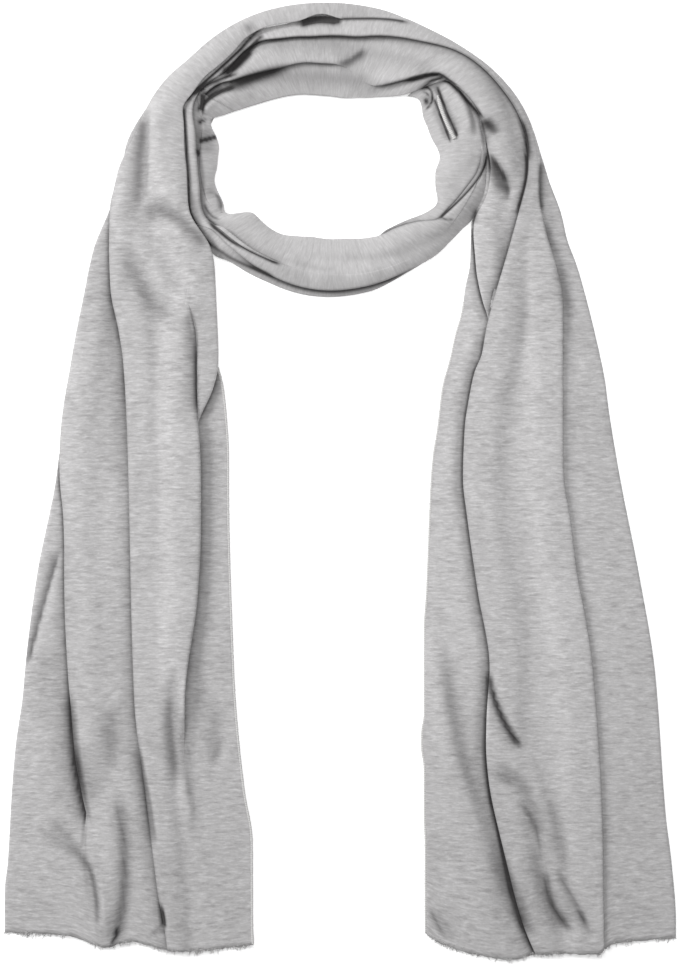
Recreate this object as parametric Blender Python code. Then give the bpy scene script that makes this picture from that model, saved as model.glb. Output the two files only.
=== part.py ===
# A long scarf laid flat: one cloth, wound once round the neck opening, with both tails hanging
# down side by side. Metres, +Z up. The surface it lies on is z = 0, +Y runs from the hems to the
# top of the neck loop and the origin is the middle of its outline on that surface.

import math

import bmesh
import bpy
import numpy as np

# ---------------------------------------------------------------- driving dimensions
wall = 0.0010  # thickness of one layer of cloth
layer = 0.0015  # rise from one layer to the next
least_rise = 0.0013  # the least rise where a layer bridges over an edge, measured square to it
steepest = 1.25  # limit on how much a slope thickens the wall, measured straight up
drape = 0.012  # length over which cloth comes down past an edge that lies under it
long_drape = 0.017  # the same past the edge of a whole stretch that it crosses
rest = 0.0025  # how far past that edge it keeps its full height
widest_bend = 0.0026  # how far a thick fold rounds out past its last straight part
bend_share = 0.36  # and the most of a narrow layer's width that it may take up
bend_angles = (-50, 0, 50)  # where its points lie round the turn, in degrees
thinnest_bend = 0.0001  # what is left inside a tight fold
seam = 0.0003  # gap between one stretch and the next
seam_reach = 0.1  # the loop's middle radius, where a seam is that wide
past_end = 7.0  # degrees past the end of a stretch where it still carries what lies over it
past_ease = 6.0  # and the degrees over which that eases off
clearance = 1.12  # how much higher than what it lies on each stretch is carried
neck = (-0.0078, 0.2055)  # centre of the neck opening
tail_length = 0.4965  # from the neck's centre line down to the hems
crossing_length = 0.085  # the top of each tail, where it leaves the loop's layers
hem_band = 0.060  # the part of each tail in which the hem's wave grows

# The hidden layers inside the neck loop.
core_first, core_last, core_steps = 60, 338, 22  # where they start and end, in degrees
core_back = 0.002  # how far inside the back layer's edge they start
core_inner = 0.006  # and how far inside the loop's inner edge at least
core_outer = 0.007  # how far they stay from its outer edge
core_inset = 0.002  # how far they stay inside the span that they raise
core_rise = 0.0025  # how much they raise the middle of what lies over them
core_slope = 1.6  # where that rise ends, in half widths of their span
core_gap = 0.0012  # what is left between them and the cloth over them
core_taper = 12.0  # the degrees over which their ends close
core_end = 0.25  # the share of their width and height that is left at the very end
core_rim = 0.2  # the share of their height that is left at their rounded sides

grey = (0.462, 0.456, 0.454, 1.0)
inner_grey = (0.40, 0.395, 0.393, 1.0)


# ---------------------------------------------------------------- tables
class Table:
    # Rows of sizes along a stretch, read between rows on a smooth curve that never overshoots.
    def __init__(self, columns, *rows):
        self.names = columns.split()
        self.values = np.array(rows, float)

    def read(self, column, at):
        x = self.values[:, 0]
        y = self.values[:, self.names.index(column)]
        at = np.clip(at, x[0], x[-1])
        gap = np.diff(x)
        rise = np.diff(y) / gap
        slope = np.zeros(len(x))
        slope[0] = rise[0]
        slope[-1] = rise[-1]
        same = rise[:-1] * rise[1:] > 0
        mean = 2 * rise[:-1] * rise[1:] / np.where(same, rise[:-1] + rise[1:], 1)
        slope[1:-1] = np.where(same, mean, 0)
        i = np.clip(np.searchsorted(x, at, side="right") - 1, 0, len(gap) - 1)
        t = (at - x[i]) / gap[i]
        return (
            y[i] * (1 + 2 * t) * (1 - t) ** 2
            + slope[i] * gap[i] * t * (1 - t) ** 2
            + y[i + 1] * t * t * (3 - 2 * t)
            + slope[i + 1] * gap[i] * t * t * (t - 1)
        )


# Tails: drop is the distance below the neck's centre line, and the other columns are distances
# outward from the neck's centre. A fold is an edge that shows and a tuck is one that is hidden
# under the panel above it. fold_a and fold_b open towards the outer side, fold_c towards the neck.
left_tail_rows = Table(
    "drop   back    outer   tuck_a  fold_a  tuck_b  fold_b  fold_c  tuck_c  inner",
    (0.0000, 0.1200, 0.1300, 0.1220, 0.1335, 0.1180, 0.1362, 0.0922, 0.1060, 0.0970),
    (0.0247, 0.1180, 0.1385, 0.1290, 0.1412, 0.1220, 0.1429, 0.0906, 0.1050, 0.0950),
    (0.0540, 0.0960, 0.1500, 0.1390, 0.1528, 0.1260, 0.1421, 0.0751, 0.0950, 0.0790),
    (0.0865, 0.0800, 0.1570, 0.1460, 0.1596, 0.1250, 0.1401, 0.0716, 0.0920, 0.0750),
    (0.1280, 0.0750, 0.1650, 0.1550, 0.1675, 0.1190, 0.1331, 0.0703, 0.0900, 0.0698),
    (0.1660, 0.0700, 0.1715, 0.1600, 0.1733, 0.1170, 0.1309, 0.0844, 0.0990, 0.0651),
    (0.2035, 0.0680, 0.1775, 0.1610, 0.1745, 0.1155, 0.1297, 0.0826, 0.0980, 0.0637),
    (0.2814, 0.0660, 0.1918, 0.1570, 0.1711, 0.1130, 0.1278, 0.0851, 0.0990, 0.0618),
    (0.3282, 0.0650, 0.1976, 0.1550, 0.1690, 0.1120, 0.1266, 0.0917, 0.1030, 0.0605),
    (0.3789, 0.0610, 0.2036, 0.1500, 0.1619, 0.1090, 0.1222, 0.0935, 0.1000, 0.0562),
    (0.4309, 0.0540, 0.2075, 0.1330, 0.1430, 0.1040, 0.1156, 0.0925, 0.0975, 0.0492),
    (0.4634, 0.0530, 0.2100, 0.1245, 0.1342, 0.1005, 0.1112, 0.0910, 0.0955, 0.0481),
    (0.4965, 0.0520, 0.2106, 0.1270, 0.1382, 0.0960, 0.1046, 0.0870, 0.0910, 0.0474),
)
# fold_b is the middle panel's inner edge and fold_f its outer one.
right_tail_rows = Table(
    "drop   inner   tuck_b  fold_b  fold_f  tuck_f  outer   back",
    (0.0000, 0.1038, 0.1343, 0.1312, 0.1412, 0.1380, 0.1392, 0.1100),
    (0.0117, 0.1034, 0.1330, 0.1292, 0.1403, 0.1365, 0.1447, 0.1090),
    (0.0247, 0.0996, 0.1295, 0.1250, 0.1385, 0.1335, 0.1494, 0.1050),
    (0.0540, 0.0919, 0.1240, 0.1161, 0.1431, 0.1330, 0.1578, 0.0970),
    (0.0865, 0.0874, 0.1190, 0.1065, 0.1512, 0.1370, 0.1677, 0.0920),
    (0.1280, 0.0779, 0.1140, 0.0963, 0.1515, 0.1370, 0.1773, 0.0830),
    (0.1660, 0.0710, 0.1060, 0.0884, 0.1515, 0.1370, 0.1835, 0.0760),
    (0.2035, 0.0663, 0.1040, 0.0867, 0.1521, 0.1370, 0.1898, 0.0710),
    (0.2490, 0.0644, 0.1100, 0.0926, 0.1587, 0.1430, 0.1986, 0.0690),
    (0.3282, 0.0618, 0.1200, 0.1038, 0.1709, 0.1550, 0.2126, 0.0670),
    (0.3789, 0.0618, 0.1175, 0.1019, 0.1743, 0.1580, 0.2161, 0.0670),
    (0.4309, 0.0621, 0.1240, 0.1102, 0.1770, 0.1610, 0.2208, 0.0670),
    (0.4634, 0.0624, 0.1330, 0.1202, 0.1777, 0.1620, 0.2245, 0.0670),
    (0.4965, 0.0624, 0.1450, 0.1340, 0.1783, 0.1630, 0.2262, 0.0670),
)
# Where the hems lie below tail_length, by distance outward.
left_hem_rows = Table(
    "outward below",
    (0.0474, 0.0105),
    (0.0930, 0.0150),
    (0.1050, 0.0130),
    (0.1300, 0.0060),
    (0.1440, 0.0110),
    (0.1700, 0.0040),
    (0.2106, 0.0020),
)
right_hem_rows = Table(
    "outward below",
    (0.0624, 0.0020),
    (0.0720, 0.0090),
    (0.1110, 0.0190),
    (0.1222, 0.0200),
    (0.1340, 0.0155),
    (0.1781, 0.0155),
    (0.1827, 0.0110),
    (0.2262, 0.0060),
)
# Loop: turn is in degrees, anticlockwise from the right, seen from above.
upper_loop_rows = Table(
    "turn  inner   tuck_c  fold_c  tuck_b  fold_b  outer   back",
    (0.0, 0.1060, 0.1120, 0.1035, 0.1355, 0.1310, 0.1412, 0.1120),
    (15.0, 0.1040, 0.1100, 0.1017, 0.1303, 0.1258, 0.1345, 0.1110),
    (30.0, 0.1000, 0.1050, 0.0980, 0.1205, 0.1160, 0.1252, 0.1050),
    (37.0, 0.0720, 0.0990, 0.0905, 0.1160, 0.1105, 0.1205, 0.0980),
    (45.0, 0.0650, 0.0900, 0.0813, 0.1110, 0.1050, 0.1153, 0.0860),
    (52.0, 0.0583, 0.0800, 0.0700, 0.1065, 0.1005, 0.1110, 0.0720),
    (60.0, 0.0519, 0.0690, 0.0600, 0.1015, 0.0958, 0.1076, 0.0600),
    (75.0, 0.0464, 0.0740, 0.0640, 0.0920, 0.0867, 0.0976, 0.0560),
    (90.0, 0.0456, 0.0750, 0.0659, 0.0890, 0.0835, 0.0945, 0.0550),
    (105.0, 0.0482, 0.0780, 0.0687, 0.0902, 0.0855, 0.0947, 0.0570),
    (120.0, 0.0527, 0.0810, 0.0720, 0.0950, 0.0905, 0.1000, 0.0620),
    (135.0, 0.0594, 0.0890, 0.0806, 0.0970, 0.0920, 0.1040, 0.0680),
    (150.0, 0.0714, 0.0975, 0.0915, 0.1015, 0.0970, 0.1085, 0.0800),
)
left_gather_rows = Table(
    "turn  inner   tuck_g  fold_g  outer   back",
    (150.0, 0.0714, 0.0985, 0.0915, 0.1085, 0.0800),
    (165.0, 0.0746, 0.0980, 0.0897, 0.1120, 0.0820),
    (180.0, 0.0710, 0.0940, 0.0851, 0.1140, 0.0790),
    (195.0, 0.0714, 0.0940, 0.0858, 0.1080, 0.0790),
    (205.0, 0.0718, 0.0930, 0.0862, 0.1005, 0.0800),
)
# fold_h is the front band's edge at the neck and lip the edge of the layer under it.
front_loop_rows = Table(
    "turn   lip     tuck_h  fold_h  fold_f  tuck_f  outer   back",
    (205.0, 0.0748, 0.0800, 0.0718, 0.0885, 0.0830, 0.1005, 0.0800),
    (210.0, 0.0630, 0.0730, 0.0600, 0.0850, 0.0790, 0.0961, 0.0700),
    (225.0, 0.0586, 0.0650, 0.0556, 0.0824, 0.0740, 0.0886, 0.0640),
    (240.0, 0.0544, 0.0610, 0.0514, 0.0803, 0.0710, 0.0854, 0.0600),
    (255.0, 0.0503, 0.0570, 0.0473, 0.0800, 0.0700, 0.0843, 0.0560),
    (270.0, 0.0496, 0.0560, 0.0466, 0.0800, 0.0700, 0.0838, 0.0550),
    (285.0, 0.0519, 0.0580, 0.0489, 0.0810, 0.0720, 0.0851, 0.0570),
    (300.0, 0.0570, 0.0630, 0.0540, 0.0822, 0.0760, 0.0859, 0.0620),
    (315.0, 0.0562, 0.0680, 0.0581, 0.0855, 0.0800, 0.0894, 0.0640),
    (330.0, 0.0649, 0.0790, 0.0712, 0.0903, 0.0850, 0.0942, 0.0720),
    (345.0, 0.0727, 0.0905, 0.0856, 0.0968, 0.0925, 0.1005, 0.0800),
    (350.0, 0.0705, 0.0930, 0.0885, 0.0980, 0.0945, 0.1012, 0.0790),
)
inner_right_rows = Table(
    "turn   lip     tuck_s  fold_s  outer   back",
    (-10.0, 0.0732, 0.0790, 0.0702, 0.1012, 0.0780),
    (0.0, 0.0732, 0.0790, 0.0702, 0.1018, 0.0780),
    (5.0, 0.0726, 0.0810, 0.0722, 0.1022, 0.0790),
    (9.0, 0.0710, 0.0880, 0.0785, 0.1022, 0.0790),
    (15.0, 0.0695, 0.0890, 0.0800, 0.1070, 0.0770),
    (30.0, 0.0700, 0.0890, 0.0803, 0.1060, 0.0770),
    (42.0, 0.0690, 0.0870, 0.0780, 0.0980, 0.0770),
)
outer_arc_rows = Table(
    "turn   inner   tuck_n  outer   back",
    (0.0, 0.0922, 0.0950, 0.1362, 0.1325),
    (15.0, 0.0971, 0.0998, 0.1259, 0.1222),
    (30.0, 0.0993, 0.1020, 0.1178, 0.1143),
    (45.0, 0.0962, 0.0990, 0.1128, 0.1093),
    (60.0, 0.0988, 0.1014, 0.1101, 0.1068),
    (75.0, 0.0960, 0.0987, 0.1071, 0.1040),
    (90.0, 0.0957, 0.0984, 0.1056, 0.1026),
    (105.0, 0.0986, 0.1008, 0.1068, 0.1040),
    (112.0, 0.1012, 0.1032, 0.1072, 0.1048),
)

# ---------------------------------------------------------------- the cloth's way across
# Each layer in turn: where it starts, where it ends, its place in the pile, which side of the
# pile it is in (inner, outer or both) and how many points lie across it.
left_tail_layers = (
    ("back", "outer", 0, "io", 5),
    ("outer", "tuck_a", 1, "o", 5),
    ("tuck_a", "fold_a", 2, "o", 3),
    ("fold_a", "tuck_b", 3, "o", 6),
    ("tuck_b", "fold_b", 4, "o", 4),
    ("fold_b", "fold_c", 5, "io", 11),
    ("fold_c", "tuck_c", 2, "i", 5),
    ("tuck_c", "inner", 1, "i", 6),
)
right_tail_layers = (
    ("inner", "tuck_b", 1, "i", 6),
    ("tuck_b", "fold_b", 2, "i", 2),
    ("fold_b", "fold_f", 3, "io", 9),
    ("fold_f", "tuck_f", 2, "o", 2),
    ("tuck_f", "outer", 1, "o", 5),
    ("outer", "back", 0, "io", 5),
)
upper_loop_layers = (
    ("inner", "tuck_c", 1, "i", 4),
    ("tuck_c", "fold_c", 2, "i", 2),
    ("fold_c", "tuck_b", 3, "io", 6),
    ("tuck_b", "fold_b", 4, "o", 2),
    ("fold_b", "outer", 5, "o", 3),
    ("outer", "back", 0, "io", 6),
)
left_gather_layers = (
    ("inner", "tuck_g", 1, "i", 4),
    ("tuck_g", "fold_g", 2, "i", 2),
    ("fold_g", "outer", 3, "i", 5),
    ("outer", "back", 0, "i", 4),
)
front_loop_layers = (
    ("lip", "tuck_h", 1, "i", 3),
    ("tuck_h", "fold_h", 2, "i", 2),
    ("fold_h", "fold_f", 3, "io", 7),
    ("fold_f", "tuck_f", 2, "o", 2),
    ("tuck_f", "outer", 1, "o", 3),
    ("outer", "back", 0, "io", 4),
)
inner_right_layers = (
    ("lip", "tuck_s", 1, "i", 3),
    ("tuck_s", "fold_s", 2, "i", 2),
    ("fold_s", "outer", 3, "i", 5),
    ("outer", "back", 0, "i", 4),
)
outer_arc_layers = (
    ("inner", "outer", 2, "i", 6),
    ("outer", "tuck_n", 1, "i", 6),
    ("tuck_n", "back", 0, "i", 6),
)


def eased(amount):
    amount = np.clip(amount, 0.0, 1.0)
    return amount * amount * (3 - 2 * amount)


def cover(reach, low, high, length=drape):
    # 1 over a layer that runs from low to high and a little past it, easing to 0 beyond.
    outer_side = eased((high + rest + length - reach) / length)
    return outer_side * eased((reach - low + rest + length) / length)


class Stretch:
    # One stretch of the scarf: its layers, and where each point of them lies.
    def __init__(
        self, name, table, layers, stations,
        side=1, hem=None, under=(), cored=False,
    ):
        self.name = name
        self.table = table
        self.layers = layers
        self.stations = stations
        self.side = side
        self.hem = hem
        self.under = under
        self.cored = cored
        self.is_tail = table.names[0] == "drop"

    def edges(self, at):
        return {name: self.table.read(name, at) for name in self.table.names[1:]}

    def place(self, at, reach):
        # The point on the surface at this station, this far out from the neck's centre.
        if self.is_tail:
            below = at
            if self.hem:
                grown = eased((at - tail_length + hem_band) / hem_band)
                below = at + self.hem.read("below", reach) * grown
            return neck[0] + self.side * reach, neck[1] - below
        angle = math.radians(at)
        return neck[0] + self.side * reach * math.cos(angle), neck[1] + reach * math.sin(angle)

    def locate(self, x, y):
        # The station and reach of points on the surface, for a stretch of the loop.
        first, last = self.stations[0], self.stations[-1]
        turn = np.degrees(np.arctan2(y - neck[1], self.side * (x - neck[0])))
        middle = (first + last) / 2
        turn = middle + (turn - middle + 180) % 360 - 180
        return turn, np.hypot(x - neck[0], y - neck[1])

    def share(self, turn):
        # 1 along the stretch and a little past its ends, easing to 0 beyond.
        low = self.stations[0] - past_end - past_ease
        high = self.stations[-1] + past_end + past_ease
        return eased((turn - low) / past_ease) * eased((high - turn) / past_ease)

    def core_span(self, edges):
        inner = edges.get("inner", edges.get("lip"))
        low = np.maximum(inner + core_inner, edges["back"] + core_back)
        return low, edges["outer"] - core_outer

    def core_height(self, reach, edges):
        if not self.cored:
            return 0 * reach
        low, high = self.core_span(edges)
        across = np.abs(reach - (low + high) / 2) / ((high - low) / 2)
        return layer * cover(reach, low, high) + core_rise * eased(core_slope - across)

    def lift(self, x, y):
        # How far this stretch raises what lies over it.
        turn, reach = self.locate(x, y)
        edges = self.edges(turn)
        total = self.core_height(reach, edges)
        for start, end, _, _, _ in self.layers:
            low = np.minimum(edges[start], edges[end])
            high = np.maximum(edges[start], edges[end])
            total = total + layer * cover(reach, low, high, long_drape)
        return total * self.share(turn)

    def base(self, x, y):
        # How high the stretches under this one carry it.
        return clearance * max((other.lift(x, y) for other in self.under), default=0.0)

    def lower_layers(self, k):
        # The layers of this stretch that layer k lies on.
        _, _, order, side, _ = self.layers[k]
        return [
            other for other in self.layers
            if other[2] < order and set(other[3]) & set(side)
        ]

    def height(self, at, reach, k):
        # The middle of layer k above the surface, before it settles on the ones below.
        edges = self.edges(at)
        x, y = self.place(at, reach)
        z = wall / 2 + self.base(x, y)
        if self.layers[k][2] > 0:
            z = z + self.core_height(reach, edges)
        for start, end, _, _, _ in self.lower_layers(k):
            low = min(edges[start], edges[end])
            high = max(edges[start], edges[end])
            z = z + layer * cover(reach, low, high)
        return z

    def end_bend(self, at, k, edges):
        # How far the fold at the end of layer k rounds out.
        if k + 1 == len(self.layers):
            return 0.0
        start, end = self.layers[k][:2]
        onward = self.layers[k + 1][1]
        rise = self.height(at, edges[end], k + 1) - self.height(at, edges[end], k)
        narrower = min(abs(edges[end] - edges[start]), abs(edges[onward] - edges[end]))
        return min((abs(rise) + wall) / 2, widest_bend, bend_share * narrower)

    def settled(self, at):
        # Each layer's direction, bend, reach and z across this station, with none too near to
        # another.
        edges = self.edges(at)
        lines = []
        bend = 0.0
        for k, (start, end, _, _, points) in enumerate(self.layers):
            way = 1 if edges[end] > edges[start] else -1
            first = edges[start] + way * bend
            bend = self.end_bend(at, k, edges)
            reach = np.linspace(first, edges[end] - way * bend, points)
            lines.append((way, bend, reach, np.array([self.height(at, r, k) for r in reach])))
        for k in sorted(range(len(lines)), key=lambda n: self.layers[n][2]):
            for below in self.lower_layers(k):
                self.raise_over(lines[k], lines[self.layers.index(below)])
        return lines

    def raise_over(self, upper, lower):
        # Raises the points of one layer until it clears another all the way across.
        way, bend, reach, z = upper
        low_way, _, low_reach, low_z = lower
        steep = np.minimum(np.sqrt(1 + np.gradient(low_z, low_reach) ** 2), steepest)
        least = low_z + least_rise * steep
        tips = reach.copy()
        tips[0] -= way * bend
        tips[-1] += way * bend
        for i in range(len(reach)):
            for at in (reach[i], tips[i]):
                if low_reach.min() - widest_bend <= at <= low_reach.max() + widest_bend:
                    z[i] = max(z[i], np.interp(at, low_reach[::low_way], least[::low_way]))
        for r, needed in zip(low_reach, least):
            if reach.min() <= r <= reach.max():
                short = needed - np.interp(r, reach[::way], z[::way])
                z[np.argsort(np.abs(reach - r))[:2]] += max(short, 0.0)

    def section(self, at):
        # The two sides of the cloth across this station, as lists of (reach, z).
        left, right = [], []
        lines = self.settled(at)
        for k, (way, out, reach, z) in enumerate(lines):
            slope = np.gradient(z, reach)
            half = wall / 2 * np.minimum(np.sqrt(1 + slope**2), steepest)
            left += list(zip(reach, z + way * half))
            right += list(zip(reach, z - way * half))
            if k + 1 < len(lines):
                self.bend(left, right, reach[-1], z[-1], lines[k + 1][3][0], way, out, half[-1])
        return left, right

    def bend(self, left, right, reach, z, next_z, way, out, half):
        # The rounded turn from one layer into the next.
        up = 1.0 if next_z > z else -1.0
        middle = (z + next_z) / 2
        high = abs(next_z - z) / 2
        inner_out = max(out - wall, 2 * thinnest_bend)
        inner_high = max(high - half, thinnest_bend)
        for angle in bend_angles:
            c = math.cos(math.radians(angle))
            s = math.sin(math.radians(angle)) * up
            outside = (reach + way * out * c, middle + (high + half) * s)
            inside = (reach + way * inner_out * c, middle + inner_high * s)
            left.append(inside if way * up > 0 else outside)
            right.append(outside if way * up > 0 else inside)


def make_material(name, colour):
    material = bpy.data.materials.new(name)
    material.use_nodes = True
    shader = material.node_tree.nodes["Principled BSDF"]
    shader.inputs["Base Color"].default_value = colour
    shader.inputs["Roughness"].default_value = 0.9
    shader.inputs["Metallic"].default_value = 0.0
    return material


def grid_side(bm, points):
    # A grid of faces through these points, and its vertices by station and place across.
    stations, across = points.shape[:2]
    made = bmesh.ops.create_grid(bm, x_segments=across - 1, y_segments=stations - 1, size=1)["verts"]
    made.sort(key=lambda v: (round(v.co.y, 6), round(v.co.x, 6)))
    verts = np.array(made, dtype=object).reshape(stations, across)
    for i in range(stations):
        for j in range(across):
            verts[i, j].co = points[i, j]
    return verts


def rim_of(verts):
    return (
        list(verts[0, :-1])
        + list(verts[:-1, -1])
        + list(verts[-1, :0:-1])
        + list(verts[:0:-1, 0])
    )


def make_wall(name, near, far, colour):
    # A closed wall between its two sides, joined all round their rims.
    bm = bmesh.new()
    near_rim = rim_of(grid_side(bm, near))
    far_rim = rim_of(grid_side(bm, far))
    for k in range(len(near_rim)):
        onward = (k + 1) % len(near_rim)
        bm.faces.new((near_rim[k], near_rim[onward], far_rim[onward], far_rim[k]))
    bmesh.ops.recalc_face_normals(bm, faces=bm.faces)
    bmesh.ops.triangulate(bm, faces=bm.faces)
    mesh = bpy.data.meshes.new(name)
    bm.to_mesh(mesh)
    bm.free()
    mesh.shade_smooth()
    mesh.set_sharp_from_angle(angle=math.radians(60))
    mesh.materials.append(make_material(name + "_cloth", colour))
    piece = bpy.data.objects.new(name, mesh)
    bpy.context.scene.collection.objects.link(piece)
    return piece


def make_stretch(stretch):
    near, far = [], []
    for at in stretch.stations:
        for side, kept in zip(stretch.section(at), (near, far)):
            kept.append([(*stretch.place(at, reach), z) for reach, z in side])
    return make_wall(stretch.name, np.array(near), np.array(far), grey)


def make_core(name, stretches):
    # The hidden layers inside the neck loop, as one rounded solid.
    top, bottom = [], []
    for at in np.linspace(core_first, core_last, core_steps):
        stretch = next(s for s in stretches if at <= s.stations[-1] or s is stretches[-1])
        edges = stretch.edges(at)
        low, high = stretch.core_span(edges)
        to_end = min(at - core_first, core_last - at)
        full = min(1.0, core_end + to_end / core_taper)
        middle = (low + high) / 2
        half = ((high - low) / 2 - core_inset) * full
        floor_row, roof_row = [], []
        for across in (-1.0, -0.8, -0.4, 0.0, 0.4, 0.8, 1.0):
            reach = middle + across * half
            x, y = stretch.place(at, reach)
            base = stretch.base(x, y) + layer + wall / 2
            rounded = (1 - across**6) * full
            rise = stretch.core_height(reach, edges) - layer + wall - core_gap
            floor_row.append((x, y, base - wall / 2 * rounded * (1 - 2 * core_rim)))
            roof_row.append((x, y, base + rise * (core_rim + (1 - core_rim) * rounded)))
        bottom.append(floor_row)
        top.append(roof_row)
    return make_wall(name, np.array(top), np.array(bottom), inner_grey)


def tail_stations(first, near_loop):
    # Close together where a tail leaves the loop, and wider apart further down.
    crossing = np.linspace(first, crossing_length, near_loop, endpoint=False)
    return np.concatenate([crossing, np.linspace(crossing_length, tail_length, 11)])


def main():
    for thing in list(bpy.data.objects):
        bpy.data.objects.remove(thing, do_unlink=True)
    step = math.degrees(seam / seam_reach)
    inner_right = Stretch(
        "inner_right_fold", inner_right_rows, inner_right_layers,
        np.linspace(-10 + step, 42, 10),
    )
    front = Stretch(
        "front_loop", front_loop_rows, front_loop_layers,
        np.linspace(205, 350, 18), cored=True,
    )
    gather = Stretch(
        "left_gather", left_gather_rows, left_gather_layers,
        np.linspace(150 + step, 205 - step, 8), cored=True,
    )
    upper = Stretch(
        "upper_loop", upper_loop_rows, upper_loop_layers,
        np.linspace(0, 150, 20), under=(inner_right,), cored=True,
    )
    right = Stretch(
        "right_tail", right_tail_rows, right_tail_layers,
        tail_stations(seam, 6), hem=right_hem_rows,
    )
    below_left = (upper, gather, front)
    arc = Stretch(
        "outer_arc", outer_arc_rows, outer_arc_layers,
        np.linspace(step, 112, 14), side=-1, under=below_left,
    )
    left = Stretch(
        "left_tail", left_tail_rows, left_tail_layers,
        tail_stations(0, 10), side=-1, hem=left_hem_rows, under=below_left,
    )
    for stretch in (inner_right, front, gather, upper, right, arc, left):
        make_stretch(stretch)
    make_core("hidden_layers", (upper, gather, front))


main()
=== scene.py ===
import math

import bmesh
import bpy
import numpy as np
from mathutils import Matrix, Vector


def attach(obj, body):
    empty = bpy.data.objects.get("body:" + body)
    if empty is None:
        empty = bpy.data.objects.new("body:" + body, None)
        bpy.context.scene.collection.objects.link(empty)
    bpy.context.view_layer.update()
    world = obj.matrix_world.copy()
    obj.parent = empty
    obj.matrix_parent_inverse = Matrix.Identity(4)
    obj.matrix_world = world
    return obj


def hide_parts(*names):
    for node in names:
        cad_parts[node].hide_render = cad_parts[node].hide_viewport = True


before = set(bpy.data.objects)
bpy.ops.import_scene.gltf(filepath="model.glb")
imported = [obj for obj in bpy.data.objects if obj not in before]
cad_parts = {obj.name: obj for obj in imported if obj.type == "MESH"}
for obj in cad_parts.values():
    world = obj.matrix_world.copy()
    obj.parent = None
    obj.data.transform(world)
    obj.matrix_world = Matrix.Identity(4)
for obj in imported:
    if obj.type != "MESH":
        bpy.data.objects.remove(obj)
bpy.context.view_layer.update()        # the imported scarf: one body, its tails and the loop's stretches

print("frame loaded:", ", ".join(sorted(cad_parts)))

# Where and how the cloth lies. All lengths are in mm.
cloth = {
    "thickness": 0.55,  # of one layer as it is drawn
    "loopRule": 1.745,  # mm of cloth to a degree of turn, half way out
    "neck": (-7.8, 205.5),  # middle of the neck opening
    "tailLength": 496.5,
    "hemBand": 60,  # how far up the hem's wave reaches
    "cellSize": 0.5,  # steps across in which the layers settle on each other
    "reachSpan": (20, 244),  # how near to the neck's middle and how far from it cloth can lie
    "weaveReach": 85,  # how far out the loop's weave is neither stretched nor squeezed
}

# A crease that shows on two pieces, where the top of the loop dips between its bands, with painted shade
# along it.
topDip = (0.65, 0.4, 1, 1.6, 5, ((-2, 300.4), (4.5, 300.9), (12.3, 301.2), (28.6, 301.1), (38.4, 299.9),
    (44.9, 298.5)))

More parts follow.
